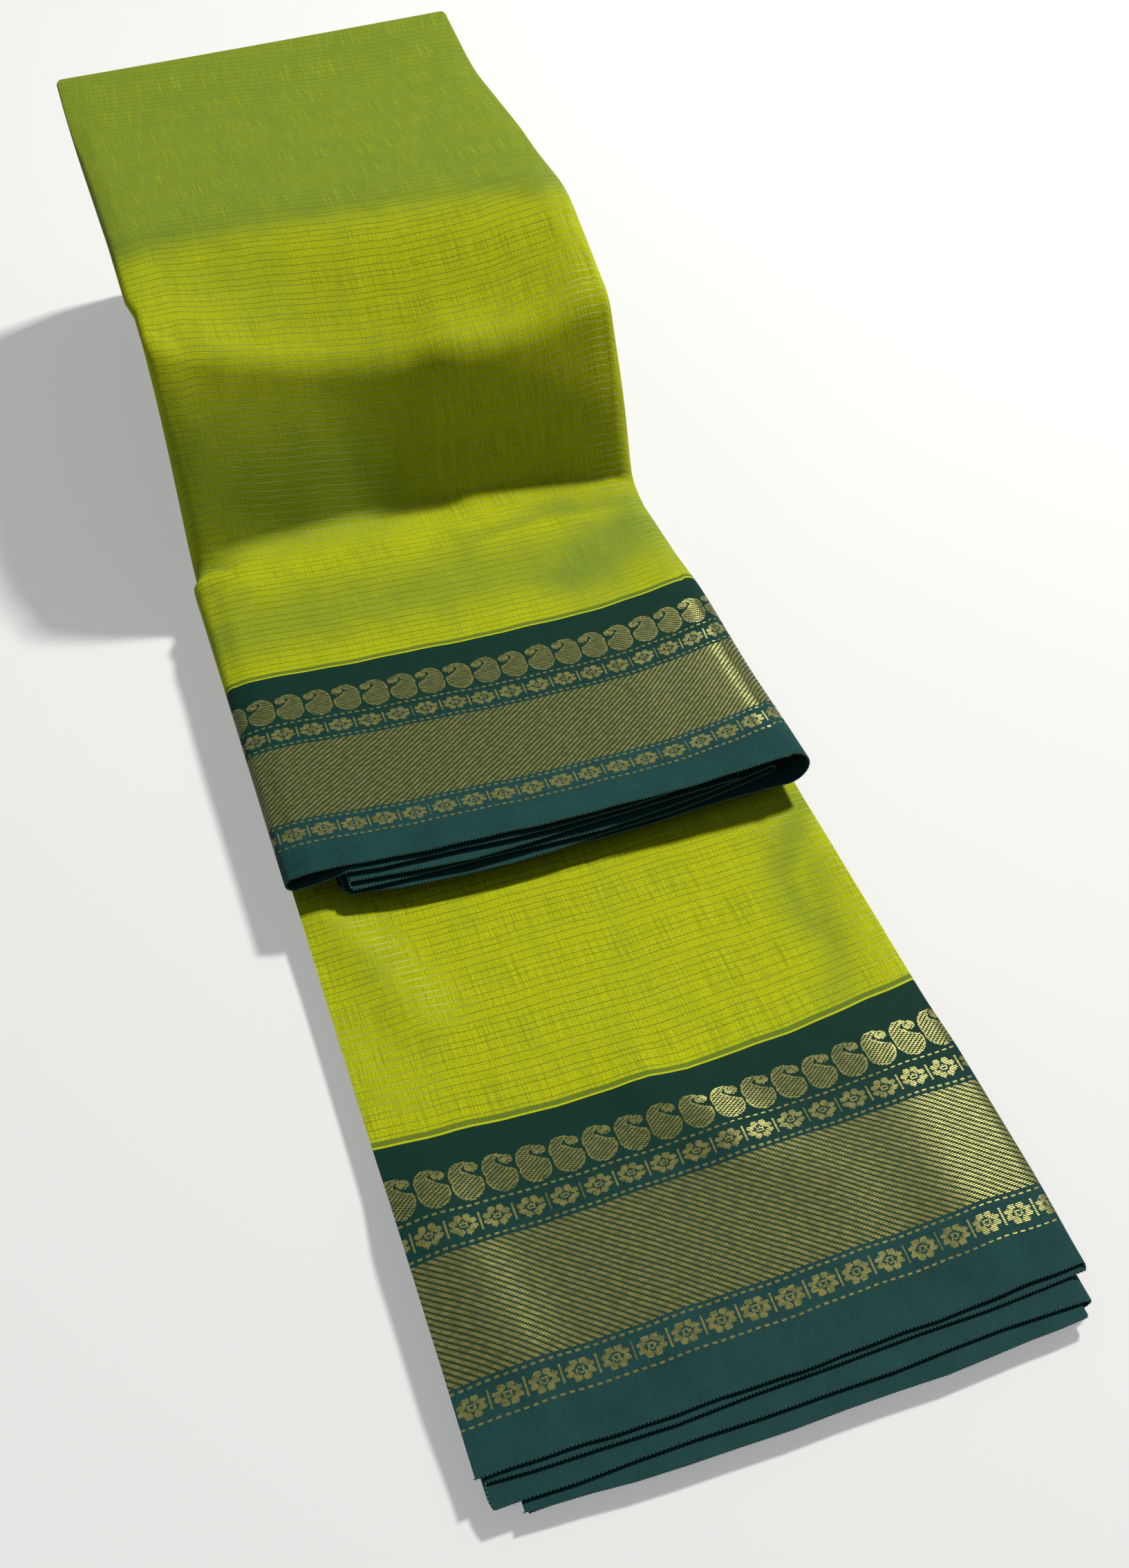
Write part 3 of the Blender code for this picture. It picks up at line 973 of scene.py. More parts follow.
class Signal:
    """A number that varies over the cloth, with Python's operators making the nodes that work it out."""

    def __init__(self, tree: bpy.types.NodeTree, socket: bpy.types.NodeSocket) -> None:
        """Wraps a node's output."""
        self.tree = tree
        self.socket = socket

    def maths(self, operation: str, *others: "Signal | float") -> "Signal":
        """The result of a math node on this signal and the others.

        Args:
            operation: the node's operation.
            others: its further inputs.

        Returns:
            The result.
        """
        inputs = dict(enumerate((self, *others)))
        node = add_node(self.tree, "ShaderNodeMath", inputs, operation=operation)
        return Signal(self.tree, node.outputs[0])

    def __add__(self, other: "Signal | float") -> "Signal":
        """The sum."""
        return self.maths("ADD", other)

    def __sub__(self, other: "Signal | float") -> "Signal":
        """The difference."""
        return self.maths("SUBTRACT", other)

    def __mul__(self, other: "Signal | float") -> "Signal":
        """The product."""
        return self.maths("MULTIPLY", other)

    def __truediv__(self, other: "Signal | float") -> "Signal":
        """The quotient."""
        return self.maths("DIVIDE", other)

    def __abs__(self) -> "Signal":
        """The size without its sign."""
        return self.maths("ABSOLUTE")

    def __neg__(self) -> "Signal":
        """The negative."""
        return self.maths("MULTIPLY", -1.0)

    def smaller(self, other: "Signal | float") -> "Signal":
        """The smaller of the two."""
        return self.maths("MINIMUM", other)

    def larger(self, other: "Signal | float") -> "Signal":
        """The larger of the two."""
        return self.maths("MAXIMUM", other)

    def below(self, limit: "Signal | float") -> "Signal":
        """1 where this is below the limit, and 0 elsewhere."""
        return self.maths("LESS_THAN", limit)

    def above(self, limit: "Signal | float") -> "Signal":
        """1 where this is above the limit, and 0 elsewhere."""
        return self.maths("GREATER_THAN", limit)

    def between(self, low: float, high: float) -> "Signal":
        """1 where this lies between two limits, and 0 elsewhere."""
        return self.above(low) * self.below(high)

    def opposite(self) -> "Signal":
        """One minus this."""
        return self.maths("MULTIPLY_ADD", -1.0, 1.0)

    def part(self) -> "Signal":
        """What is left after taking off the whole number below."""
        return self.maths("FRACT")

    def whole(self) -> "Signal":
        """The whole number below."""
        return self.maths("FLOOR")

    def ramp(self, low: float, high: float, to_low: float = 0.0, to_high: float = 1.0) -> "Signal":
        """A smooth step from to_low, where this is low, to to_high, where it is high.

        Args:
            low, high: this signal's values at the step's ends.
            to_low, to_high: the step's values there.

        Returns:
            The step.
        """
        inputs = {"Value": self, "From Min": low, "From Max": high, "To Min": to_low, "To Max": to_high}
        node = add_node(self.tree, "ShaderNodeMapRange", inputs, interpolation_type="SMOOTHSTEP")
        return Signal(self.tree, node.outputs["Result"])


# ----- Finishes -----------------------------------------------------------------------------------


@dataclass(frozen=True)
class Grain:
    """Soft noise from about 0.2 to 0.8, with its grains' size along U and V and its detail."""

    u: float
    v: float
    detail: float = 2.0


@dataclass(frozen=True)
class BodyCotton:
    """The lime body of the sari: slubby cotton, shot with a greener weft and crossed by fine zari threads.

    A field of Steps turns a noise into a share: (noise at the start, noise at the end, share at the start,
    share at the end). The green_ fields say how the mottle and the slubs break up the zones of painted shade,
    how much weaker the pale slubs are in them, and the least painted shade that counts. The greener colour is
    partly the shot weave's own tone and partly painted shade, and the bright zari colour is a painted glint.
    """

    lime: Colour = (0.364, 0.410, 0.0035, 1.0)
    # Painted shade: a darker, greener tone of the shot weave, mixed in where painted shade is laid.
    shaded_shot_green: Colour = (0.125, 0.195, 0.020, 1.0)
    deep_yarn: Colour = (0.14, 0.165, 0.004, 1.0)
    pale_yarn: Colour = (0.43, 0.48, 0.009, 1.0)
    zari: Colour = (0.115, 0.122, 0.016, 1.0)
    # Painted glint: the brighter thread colour where the creases lay a glint.
    painted_glint_zari: Colour = (0.62, 0.62, 0.30, 1.0)
    zari_pitch: float = 3.1
    zari_jitter: float = 1.3
    zari_width: float = 0.30
    zari_float: float = 0.75
    zari_stagger: float = 0.37
    zari_height: float = 0.03
    zari_metal: float = 0.5
    # Threads that carry the painted glint keep less metal, so their brightness shows in shade too.
    painted_glint_zari_metal: float = 0.05
    mottle: Grain = Grain(16.0, 24.0, 3.0)
    mottle_green: Steps = (0.45, 0.75, 0.0, 0.12)
    slubs: Grain = Grain(0.40, 21.0, 4.0)
    dark_slubs: Steps = (0.52, 0.30, 0.0, 0.50)
    pale_slubs: Steps = (0.54, 0.74, 0.0, 0.46)
    picks: Grain = Grain(14.0, 0.40)
    dark_picks: Steps = (0.50, 0.30, 0.0, 0.28)
    fuzz: Grain = Grain(0.5, 0.5, 1.0)
    dark_fuzz: Steps = (0.5, 0.3, 0.0, 0.55)
    green_mottle: float = 0.22
    green_slubs: float = 1.5
    green_pale_loss: float = 0.25
    green_least: float = 0.02
    yarns: Grain = Grain(0.5, 9.0)
    yarn_height: float = 0.14
    yarn_picks: Grain = Grain(6.0, 0.42)
    pick_height: float = 0.10
    roughness: float = 0.72


@dataclass(frozen=True)
class TealGround:
    """The teal ground of the borders, ribbed along the strip.

    Its shade is a sum of shares of the ribs, the fibres and the clouds, less an offset. It is mossier
    towards the body, as the Steps over the distance from the border's start say.
    """

    deep: Colour = (0.005, 0.024, 0.023, 1.0)
    light: Colour = (0.018, 0.076, 0.074, 1.0)
    mossy: Colour = (0.002, 0.020, 0.010, 1.0)
    mossy_share: Steps = (70.0, 10.0, 0.0, 0.75)
    line: Colour = (0.040, 0.090, 0.020, 1.0)
    rib_pitch: float = 0.57
    rib_height: float = 0.05
    rib_share: float = 0.55
    fibres: Grain = Grain(0.4, 3.5)
    fibre_share: float = 0.5
    clouds: Grain = Grain(14.0, 20.0)
    cloud_share: float = 0.35
    offset: float = 0.32
    roughness: float = 0.62


@dataclass(frozen=True)
class GoldZari:
    """The gold thread of the borders, a metal film wound on yarn."""

    bright: Colour = (0.185, 0.175, 0.060, 1.0)
    worn: Colour = (0.120, 0.125, 0.043, 1.0)
    binding: Colour = (0.012, 0.032, 0.016, 1.0)
    binding_depth: float = 0.06
    thread_pitch: float = 0.53
    thread_height: float = 0.07
    glitter: Grain = Grain(1.6, 0.53, 1.0)
    glitter_height: float = 0.02
    wear: Grain = Grain(3.0, 1.6, 3.0)
    wear_ends: Pair = (0.35, 0.65)
    roughness: float = 0.24
    metallic: float = 0.22


@dataclass(frozen=True)
class Ellipse:
    """One ellipse of a motif, from the middle of the motif's cell, turned by an angle in degrees."""

    centre: Pair
    radii: Pair
    turn: float = 0.0

    def inside(self, x: Signal, y: Signal) -> Signal:
        """About how far inside it a place lies. It is negative outside.

        Args:
            x, y: the place from the middle of the motif's cell.

        Returns:
            The distance in millimetres.
        """
        cosine, sine = math.cos(math.radians(self.turn)), math.sin(math.radians(self.turn))
        dx, dy = x - self.centre[0], y - self.centre[1]
        along = (dx * cosine + dy * sine) / self.radii[0]
        over = (dy * cosine - dx * sine) / self.radii[1]
        return ((along * along + over * over).maths("SQRT") - 1.0) * -min(self.radii)


@dataclass(frozen=True)
class Paisley:
    """A paisley as ellipses: a belly with a neck, less a hollow and a bite, and a curl with an eye.

    It is drawn drawn_height high, and every vein_period it has a diagonal vein inside its rim.
    """

    drawn_height: float = 13.2
    belly: Ellipse = Ellipse((0.0, 8.5), (4.95, 4.7))
    neck: Ellipse = Ellipse((-0.45, 5.2), (4.6, 5.2))
    hollow: Ellipse = Ellipse((4.7, 5.3), (4.5, 1.3), 24.0)
    bite: Ellipse = Ellipse((0.6, 2.8), (1.15, 0.95), -35.0)
    curl: Ellipse = Ellipse((2.75, 2.7), (2.05, 1.6), 12.0)
    eye: Ellipse = Ellipse((2.7, 2.75), (0.75, 0.32), -15.0)
    rim: float = 0.42
    vein_period: float = 2.0
    vein_step: float = 0.75
    vein_gap: float = 0.42

    def inside(self, x: Signal, y: Signal) -> Signal:
        """How far inside the paisley a place lies. Its curl leans to the cloth's far end.

        Args:
            x, y: the place from the middle of the motif's cell.

        Returns:
            The distance in millimetres.
        """
        leaf = self.belly.inside(x, y).larger(self.neck.inside(x, y))
        leaf = leaf.smaller(-self.hollow.inside(x, y)).smaller(-self.bite.inside(x, y))
        return leaf.larger(self.curl.inside(x, y).smaller(-self.eye.inside(x, y)))


@dataclass(frozen=True)
class Flower:
    """A quarter of a flower of eight petals, with a ring round its heart and a vein between petals."""

    petals: tuple[Ellipse, ...] = (Ellipse((1.35, 2.3), (1.2, 1.05)), Ellipse((3.0, 0.95), (1.3, 0.85)))
    ring: Ellipse = Ellipse((0.0, 0.0), (1.35, 0.95))
    heart: Ellipse = Ellipse((0.0, 0.0), (0.7, 0.4))
    vein_slope: float = 0.75
    vein_width: float = 0.2
    vein_ends: Pair = (1.0, 2.0)
    bar_width: float = 0.3
    bar_half_height: float = 2.9

    def shown(self, x: Signal, y: Signal, half_cell: float) -> Signal:
        """1 on the flower, or on the thin bar between it and the next.

        Args:
            x, y: the place from the flower's middle, without its sign.
            half_cell: half the distance from one flower to the next.

        Returns:
            1 on the motif, and 0 elsewhere.
        """
        tall, side = (petal.inside(x, y) for petal in self.petals)
        shape = tall.larger(side).larger(self.ring.inside(x, y).smaller(-self.heart.inside(x, y)))
        vein = abs(x * self.vein_slope - y).below(self.vein_width) * x.between(*self.vein_ends)
        bar = x.above(half_cell - self.bar_width) * y.below(self.bar_half_height)
        return shape.above(0.0).larger(bar).larger(vein)


@dataclass(frozen=True)
class BorderPlan:
    """Where the bands of a border lie, from the start of its teal towards the selvedge.

    The motifs repeat every repeat along the cloth, in steps of pick. An edge line has its two limits and
    its strength.
    """

    depth: float = 106.0
    repeat: float = 10.6
    pick: float = 0.33
    paisley_top: float = 11.5
    paisley_height: float = 14.3
    dash_lines: tuple[float, ...] = (27.4, 38.6, 80.3, 91.3)
    dash_share: float = 0.55
    dash_height: float = 0.75
    flower_rows: tuple[Pair, ...] = ((33.0, 5.3), (85.8, 2.3))
    twill: Pair = (40.0, 79.0)
    twill_period: float = 2.65
    twill_step: float = 0.65
    twill_gap: float = 0.38
    edge_dark: Triple = (-2.7, -0.9, 0.75)
    edge_pale: Triple = (-0.85, -0.1, 0.5)


@dataclass
class SariWeave:
    """The finish of the whole cloth, worked out from its place in the weave."""

    body: BodyCotton = BodyCotton()
    ground: TealGround = TealGround()
    gold: GoldZari = GoldZari()
    plan: BorderPlan = BorderPlan()
    paisley: Paisley = Paisley()
    flower: Flower = Flower()
    flat_width: float = 1200.0
    sheen: float = 0.04
    bump_strength: float = 0.8
    tree: bpy.types.NodeTree = field(init=False)

    def build(self, name: str) -> bpy.types.Material:
        """Makes the material.

        Args:
            name: the material's name.

        Returns:
            The material.
        """
        material, self.tree, shader = new_material(name)
        u, v = self.weave_coordinates()
        w = -v.smaller(-v + self.flat_width) + self.plan.depth
        in_border = w.above(0.0)
        in_body = in_border.opposite()
        motif, bound = self.border_motifs(u, w)
        motif = motif * in_border
        gold_shown = motif * bound.opposite()
        body_colour, zari = self.body_colour(u, v)
        ground_colour, rib = self.ground_colour(u, v, w)
        gold_colour, thread = self.gold_colour(u, v, w)
        colour = self.mix(in_border, self.edge_lines(body_colour, w), ground_colour)
        colour = self.mix(gold_shown, self.mix(motif, colour, self.gold.binding), gold_colour)
        body_zari = zari * in_body
        # Painted glint: the zari threads lose most of their metal where a glint is painted on them.
        glint_metal_loss = self.body.zari_metal - self.body.painted_glint_zari_metal
        metal = gold_shown + body_zari * (self.tone("shine") * -glint_metal_loss + self.body.zari_metal)
        matt = in_border * (self.ground.roughness - self.body.roughness) + self.body.roughness
        height = rib * in_border * motif.opposite() + thread * gold_shown
        height = height - bound * motif * self.gold.binding_depth
        height = height + self.yarn_height(u, v) * in_body + body_zari * self.body.zari_height
        bump_inputs = {"Height": height, "Strength": self.bump_strength, "Distance": 0.001}
        inputs = {
            "Base Color": colour,
            "Metallic": metal * self.gold.metallic,
            "Roughness": metal * (-matt + self.gold.roughness) + matt,
            "Specular IOR Level": self.sheen,
            "Normal": add_node(self.tree, "ShaderNodeBump", bump_inputs).outputs["Normal"],
        }
        set_inputs(self.tree, shader, inputs)
        return material

    def weave_coordinates(self) -> tuple[Signal, Signal]:
        """The cloth's U and V in millimetres.

        Returns:
            (U, V).
        """
        uv_map = add_node(self.tree, "ShaderNodeUVMap", uv_map="weave")
        split = add_node(self.tree, "ShaderNodeSeparateXYZ", {"Vector": uv_map.outputs["UV"]})
        return tuple(Signal(self.tree, split.outputs[axis]) * 1000.0 for axis in ("X", "Y"))

    def mix(
        self, share: Signal, first: bpy.types.NodeSocket | Colour, second: bpy.types.NodeSocket | Colour
    ) -> bpy.types.NodeSocket:
        """The colour that lies this share of the way from the first to the second.

        Args:
            share: the share.
            first, second: the two colours.

        Returns:
            The colour.
        """
        node = add_node(self.tree, "ShaderNodeMix", {"Factor": share}, data_type="RGBA")
        for socket, value in zip((s for s in node.inputs if s.type == "RGBA"), (first, second)):
            join(self.tree, value, socket)
        return next(s for s in node.outputs if s.type == "RGBA")

    def noise(self, u: Signal, v: Signal, grain: Grain) -> Signal:
        """The noise with these grains.

        Args:
            u, v: the place in the cloth, in millimetres.
            grain: the grains' sizes and detail.

        Returns:
            The noise.
        """
        place = add_node(self.tree, "ShaderNodeCombineXYZ", {"X": u / grain.u, "Y": v / grain.v})
        inputs = {"Vector": place.outputs["Vector"], "Scale": 1.0, "Detail": grain.detail}
        node = add_node(self.tree, "ShaderNodeTexNoise", inputs, noise_dimensions="2D")
        return Signal(self.tree, node.outputs["Fac"])

    def tone(self, name: str) -> Signal:
        """One of the tones kept at the cloth's points."""
        node = add_node(self.tree, "ShaderNodeAttribute", attribute_name=name)
        return Signal(self.tree, node.outputs["Fac"])

    def body_colour(self, u: Signal, v: Signal) -> tuple[bpy.types.NodeSocket, Signal]:
        """The body's colour, with its painted shade and the painted glint on its zari threads, and 1 on its
        zari threads.

        Args:
            u, v: the place in the cloth, in millimetres.

        Returns:
            (the colour, 1 on a thread).
        """
        # placed is the painted shade. It mixes in the darker, greener colour and is broken up by the mottle
        # and the slubs.
        body, placed = self.body, self.tone("greenness")
        mottle, slubs, picks, fuzz = (
            self.noise(u, v, grain) for grain in (body.mottle, body.slubs, body.picks, body.fuzz)
        )
        uneven = (mottle - 0.5) * body.green_mottle + (slubs - 0.5) * body.green_slubs
        green = (placed + uneven * placed.above(body.green_least)).larger(0.0)
        green = (green + mottle.ramp(*body.mottle_green)).smaller(1.0)
        colour = self.mix(green, body.lime, body.shaded_shot_green)
        colour = self.mix(slubs.ramp(*body.dark_slubs), colour, body.deep_yarn)
        pale = slubs.ramp(*body.pale_slubs) * (placed * -body.green_pale_loss + 1.0)
        colour = self.mix(pale, colour, body.pale_yarn)
        colour = self.mix(picks.ramp(*body.dark_picks), colour, body.deep_yarn)
        colour = self.mix(fuzz.ramp(*body.dark_fuzz), colour, body.deep_yarn)
        zari = self.zari_lines(u, v)
        # The zari threads take the bright colour, a painted glint, where the creases lay it.
        return self.mix(zari, colour, self.mix(self.tone("shine"), body.zari, body.painted_glint_zari)), zari

    def zari_lines(self, u: Signal, v: Signal) -> Signal:
        """1 on the zari threads that cross the body, unevenly spaced and broken by the warp over them.

        Args:
            u, v: the place in the cloth, in millimetres.

        Returns:
            1 on a thread, and 0 elsewhere.
        """
        place = v / self.body.zari_pitch
        number = place.whole()
        random = add_node(self.tree, "ShaderNodeTexWhiteNoise", noise_dimensions="1D")
        join(self.tree, number, random.inputs["W"])
        jitter = (Signal(self.tree, random.outputs["Value"]) - 0.5) * self.body.zari_jitter
        gap = abs((place.part() - 0.5) * self.body.zari_pitch - jitter)
        warp = (u / self.ground.rib_pitch + number * self.body.zari_stagger).part()
        return gap.below(self.body.zari_width / 2) * warp.below(self.body.zari_float)

    def edge_lines(self, colour: bpy.types.NodeSocket, w: Signal) -> bpy.types.NodeSocket:
        """Adds the dark and the pale line that lead from the body to the border.

        Args:
            colour: the colour to add them to.
            w: the place from the border's start towards the selvedge.

        Returns:
            The colour with its lines.
        """
        lines = ((self.plan.edge_dark, self.ground.line), (self.plan.edge_pale, self.body.pale_yarn))
        for (low, high, strength), yarn in lines:
            colour = self.mix(w.between(low, high) * strength, colour, yarn)
        return colour

    def ground_colour(self, u: Signal, v: Signal, w: Signal) -> tuple[bpy.types.NodeSocket, Signal]:
        """The teal ground's colour, and the height of its ribs.

        Args:
            u, v: the place in the cloth, in millimetres.
            w: the place from the border's start towards the selvedge.

        Returns:
            (the colour, the height).
        """
        ground = self.ground
        rib = (abs((u / ground.rib_pitch).part() - 0.5) * 2.0).opposite()
        fibres, clouds = (self.noise(u, v, grain) for grain in (ground.fibres, ground.clouds))
        share = rib * ground.rib_share + fibres * ground.fibre_share + clouds * ground.cloud_share
        share = (share - ground.offset).larger(0.0).smaller(1.0)
        colour = self.mix(share, ground.deep, ground.light)
        return self.mix(w.ramp(*ground.mossy_share), colour, ground.mossy), rib * ground.rib_height

    def gold_colour(self, u: Signal, v: Signal, w: Signal) -> tuple[bpy.types.NodeSocket, Signal]:
        """The zari's colour, and the height of its threads.

        Args:
            u, v: the place in the cloth, in millimetres.
            w: the place from the border's start towards the selvedge.

        Returns:
            (the colour, the height).
        """
        gold = self.gold
        place = (w / gold.thread_pitch).part() - 0.5
        crown = (place * place * -4.0 + 1.0) * gold.thread_height
        glitter, wear = (self.noise(u, v, grain) for grain in (gold.glitter, gold.wear))
        height = crown + glitter * gold.glitter_height
        return self.mix(wear.ramp(*gold.wear_ends), gold.worn, gold.bright), height

    def yarn_height(self, u: Signal, v: Signal) -> Signal:
        """The height of the body's yarns."""
        yarns, picks = (self.noise(u, v, grain) for grain in (self.body.yarns, self.body.yarn_picks))
        return yarns * self.body.yarn_height + picks * self.body.pick_height

    def border_motifs(self, u: Signal, w: Signal) -> tuple[Signal, Signal]:
        """The gold motifs of a border.

        Args:
            u: the place along the cloth.
            w: the place from the border's start towards the selvedge.

        Returns:
            (1 on a motif, 1 where a binding thread crosses it).
        """
        plan, leaf = self.plan, self.paisley
        row = (w / self.gold.thread_pitch).whole()
        w_row = (row + 0.5) * self.gold.thread_pitch
        u_step = ((u / plan.pick).whole() + 0.5) * plan.pick
        leaf_y = (w_row - plan.paisley_top) * (leaf.drawn_height / plan.paisley_height)
        inside = leaf.inside(self.cell_place(u_step, 0.0), leaf_y)
        veins = ((u + row * leaf.vein_step) / leaf.vein_period).part().below(leaf.vein_gap)
        twill = w.between(*plan.twill)
        twill_bound = ((u - row * plan.twill_step) / plan.twill_period).part().below(plan.twill_gap)
        motif = inside.above(0.0).larger(twill)
        dashes = (u / (plan.repeat / 4)).part().below(plan.dash_share)
        for line in plan.dash_lines:
            motif = motif.larger(abs(w - line).below(plan.dash_height / 2) * dashes)
        for line, offset in plan.flower_rows:
            x, y = abs(self.cell_place(u_step, offset)), abs(w_row - line)
            motif = motif.larger(self.flower.shown(x, y, plan.repeat / 2))
        return motif, (inside.above(leaf.rim) * veins).larger(twill * twill_bound)

    def cell_place(self, u: Signal, offset: float) -> Signal:
        """The place in a motif's own cell, from its middle."""
        return (((u - offset) / self.plan.repeat).part() - 0.5) * self.plan.repeat


@dataclass(frozen=True)
class TealYarn:
    """The finish of the selvedges' turns of weft, a little uneven from turn to turn."""

    colour: Triple = (0.022, 0.082, 0.074)
    darkest: float = 0.6
    palest: float = 1.6
    noise_scale: float = 700.0
    roughness: float = 0.7

    def build(self, name: str) -> bpy.types.Material:
        """Makes the material.

        Args:
            name: the material's name.

        Returns:
            The material.
        """
        material, tree, shader = new_material(name)
        place = add_node(tree, "ShaderNodeTexCoord").outputs["Object"]
        noise = add_node(tree, "ShaderNodeTexNoise", {"Vector": place, "Scale": self.noise_scale})
        ramp = add_node(tree, "ShaderNodeValToRGB", {"Fac": noise.outputs["Fac"]})
        for end, factor in zip(ramp.color_ramp.elements, (self.darkest, self.palest)):
            end.color = (*(part * factor for part in self.colour), 1.0)
        set_inputs(tree, shader, {"Base Color": ramp.outputs["Color"], "Roughness": self.roughness})
        return material


# ----- Selvedges ----------------------------------------------------------------------------------


@dataclass
class SelvedgePicks:
    """The small turns of the weft that bead both selvedges, repeated along them by Geometry Nodes.

    Fields:
        lines: the selvedges' lines of points.
        pitch: the distance from one turn to the next.
        size: a turn's length along the edge, its height and its reach.
        segments, rings: how many faces a turn has round and along it.
    """

    lines: list[np.ndarray]
    pitch: float = 0.00114
    size: Triple = (0.00100, 0.00062, 0.00062)
    segments: int = 6
    rings: int = 4

    def build(self, name: str, material: bpy.types.Material) -> bpy.types.Object:
        """Makes the beaded edges.

        Args:
            name: the piece's name.
            material: its finish.

        Returns:
            The piece, as a plain mesh.
        """
        guide = self.guide(name + "_guide")
        modifier = guide.modifiers.new("picks", "NODES")
        tree, pitch_input = self.tree(material)
        modifier.node_group = tree
        modifier[pitch_input] = self.pitch
        piece = plain_copy(guide, name)
        bpy.data.objects.remove(guide)
        piece.data.shade_smooth()
        return piece

    def guide(self, name: str) -> bpy.types.Object:
        """A curve object that holds both selvedges.

        Args:
            name: its name.

        Returns:
            The curve object.
        """
        curve = bpy.data.curves.new(name, "CURVE")
        curve.dimensions = "3D"
        for line in self.lines:
            spline = curve.splines.new("POLY")
            spline.points.add(len(line) - 1)
            for point, place in zip(spline.points, line):
                point.co = (*place.tolist(), 1.0)
        return add_object(name, curve)

    def tree(self, material: bpy.types.Material) -> tuple[bpy.types.NodeTree, str]:
        """The tree that sets a turn of weft at each pitch along the curves.

        Args:
            material: the turns' finish.

        Returns:
            (the tree, the identifier of its input "Pick pitch").
        """
        tree = bpy.data.node_groups.new("selvedge_picks", "GeometryNodeTree")
        face = tree.interface
        face.new_socket("Geometry", in_out="INPUT", socket_type="NodeSocketGeometry")
        pitch = face.new_socket("Pick pitch", in_out="INPUT", socket_type="NodeSocketFloat")
        face.new_socket("Geometry", in_out="OUTPUT", socket_type="NodeSocketGeometry")
        start = add_node(tree, "NodeGroupInput").outputs
        spacing = {"Curve": start["Geometry"], "Length": start["Pick pitch"]}
        places = add_node(tree, "GeometryNodeResampleCurve", spacing, mode="LENGTH").outputs["Curve"]
        ball = {"Segments": self.segments, "Rings": self.rings, "Radius": 0.5}
        turn = add_node(tree, "GeometryNodeMeshUVSphere", ball).outputs["Mesh"]
        way = add_node(tree, "GeometryNodeInputTangent").outputs["Tangent"]
        aim = add_node(tree, "FunctionNodeAlignRotationToVector", {"Vector": way}, axis="X")
        turned_along = aim.outputs["Rotation"]
        spread = {"Points": places, "Instance": turn, "Rotation": turned_along, "Scale": self.size}
        turns = add_node(tree, "GeometryNodeInstanceOnPoints", spread).outputs["Instances"]
        solid = add_node(tree, "GeometryNodeRealizeInstances", {"Geometry": turns}).outputs["Geometry"]
        painted = add_node(tree, "GeometryNodeSetMaterial", {"Geometry": solid, "Material": material})
        add_node(tree, "NodeGroupOutput", {"Geometry": painted.outputs["Geometry"]})
        return tree, pitch.identifier


# ----- Studio -------------------------------------------------------------------------------------


@dataclass(frozen=True)
class SoftBox:
    """A square studio light that looks at the sari from this way."""

    name: str
    way: Triple
    distance: float
    size: float
    power: float
    colour: Triple

    def build(self, target: Triple) -> None:
        """Makes the light, with its -Z axis turned to the target.

        Args:
            target: the point it looks at.
        """
        data = bpy.data.lights.new(self.name, "AREA")
        data.size = self.size
        data.energy = self.power
        data.color = self.colour
        light = add_object(self.name, data)
        way = unit(np.array(self.way))
        light.location = (np.array(target) + way * self.distance).tolist()
        turn = math.atan2(-way[1], -way[0]) - math.pi / 2
        light.rotation_euler = (math.atan2(math.hypot(way[0], way[1]), way[2]), 0.0, turn)


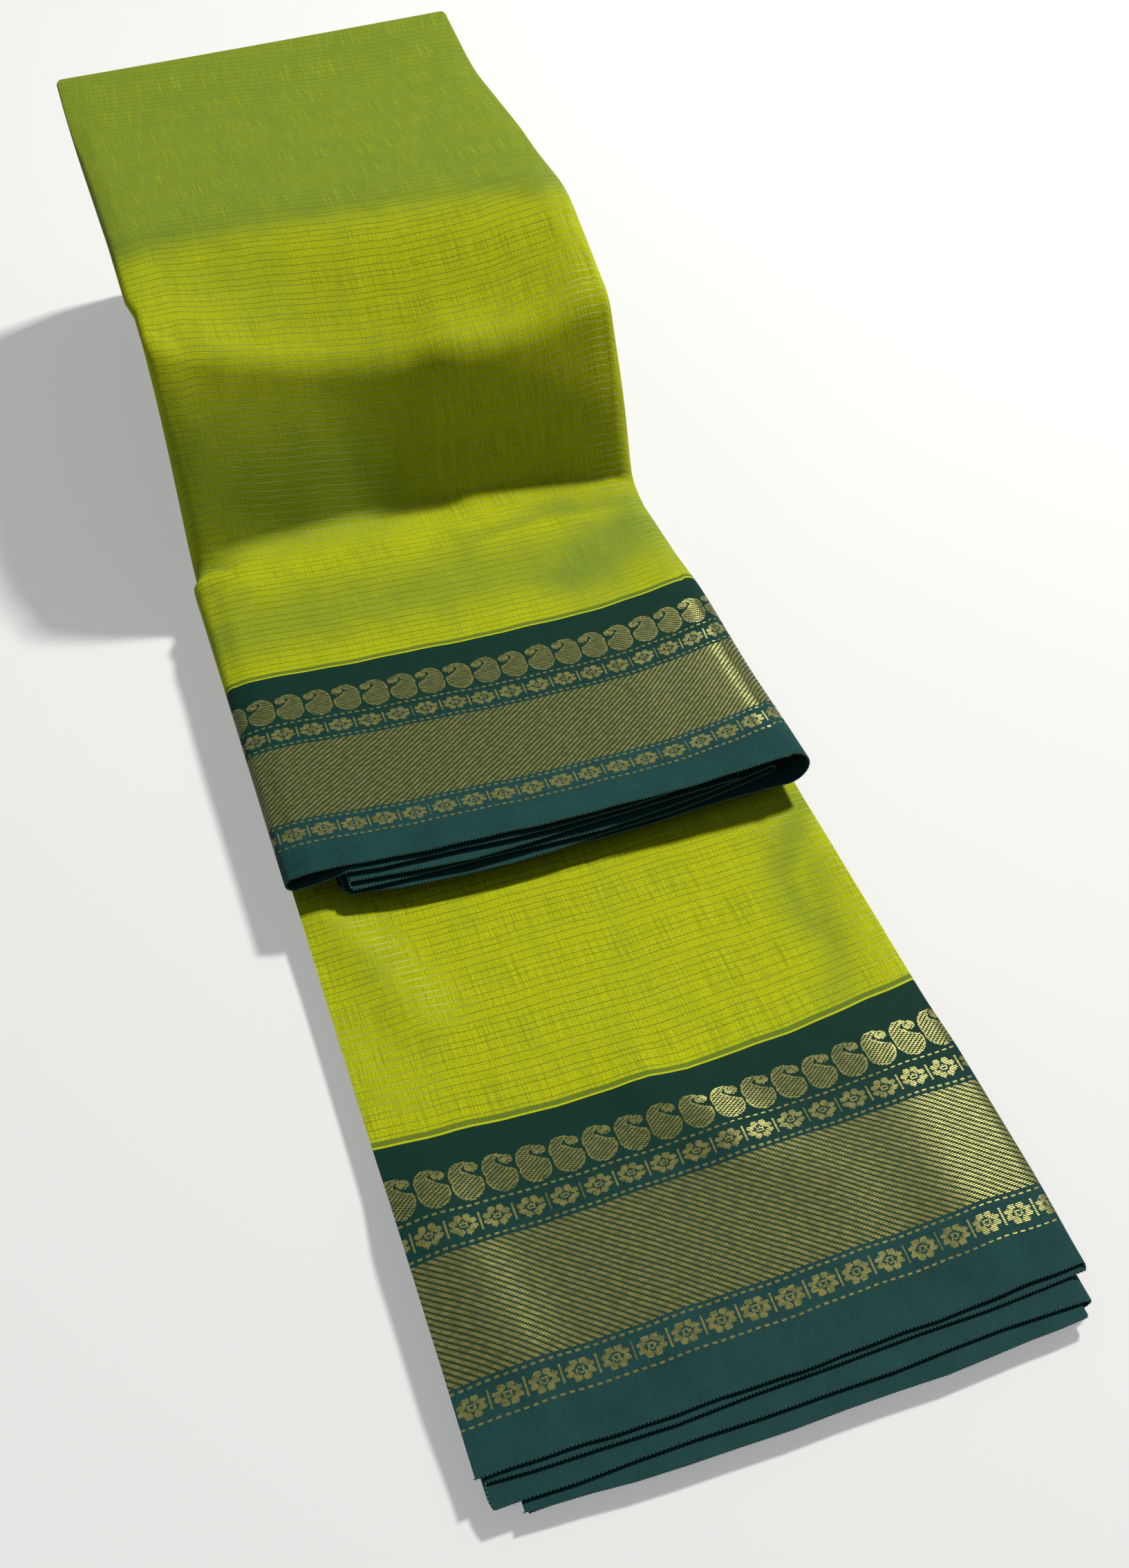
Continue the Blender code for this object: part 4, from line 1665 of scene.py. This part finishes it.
@dataclass
class Studio:
    """The pale floor, the soft light and the camera at the photograph's viewing angle."""

    target: Triple = (0.0, 0.0, 0.03)
    key: SoftBox = SoftBox("key_light", (0.51, 0.27, 0.82), 2.2, 0.22, 71.0, (1.0, 0.98, 0.92))
    sky: Colour = (0.86, 0.94, 1.0, 1.0)
    sky_strength: float = 0.23
    camera_place: Triple = (-0.12221, -0.50475, 0.47827)
    camera_turn: Triple = (43.308, 1.118, -19.077)
    camera_lens: float = 40.2801
    camera_sensor: float = 36.0
    camera_clip: float = 0.01
    floor_size: float = 6.0
    floor_colour: Colour = (0.40, 0.40, 0.40, 1.0)
    floor_roughness: float = 0.9
    floor_glow: float = 0.33

    def build(self) -> None:
        """Makes the floor, the lights and the camera."""
        self.floor()
        self.key.build(self.target)
        world = bpy.data.worlds.new("studio_sky")
        world.use_nodes = True
        inputs = {"Color": self.sky, "Strength": self.sky_strength}
        set_inputs(world.node_tree, world.node_tree.nodes["Background"], inputs)
        bpy.context.scene.world = world
        bpy.context.scene.view_settings.view_transform = "Standard"
        self.camera()

    def floor(self) -> None:
        """Makes the floor, which isn't part of the object."""
        half = self.floor_size / 2
        mesh = bpy.data.meshes.new("studio_floor")
        corners = [(-half, -half, 0.0), (half, -half, 0.0), (half, half, 0.0), (-half, half, 0.0)]
        mesh.from_pydata(corners, [], [(0, 1, 2, 3)])
        material, tree, shader = new_material("pale_floor")
        inputs = {
            "Base Color": self.floor_colour,
            "Roughness": self.floor_roughness,
            "Emission Color": (1.0, 1.0, 1.0, 1.0),
            "Emission Strength": self.floor_glow,
        }
        set_inputs(tree, shader, inputs)
        mesh.materials.append(material)
        add_object("studio_floor", mesh)

    def camera(self) -> None:
        """Makes the camera and sets it for the scene."""
        data = bpy.data.cameras.new("view_camera")
        data.lens = self.camera_lens
        data.sensor_width = self.camera_sensor
        data.clip_start = self.camera_clip
        camera = add_object("view_camera", data)
        camera.location = self.camera_place
        camera.rotation_euler = [math.radians(angle) for angle in self.camera_turn]
        bpy.context.scene.camera = camera


def main() -> None:
    """Builds the cloth, its selvedges and the studio, in that order."""
    logging.basicConfig(level=logging.INFO, format="%(name)s: %(message)s")
    sheet = SariSheet(StripProfile())
    cloth = sheet.build("sari_woven_cloth", SariWeave().build("sari_weave"))
    picks = SelvedgePicks(sheet.selvedge_lines()).build("selvedge_picks", TealYarn().build("teal_yarn"))
    for piece in (cloth, picks):
        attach(piece, "root")
        log.info("%s: %d faces", piece.name, len(piece.data.polygons))
    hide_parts("sari_cloth")
    Studio().build()


if __name__ == "__main__":
    main()
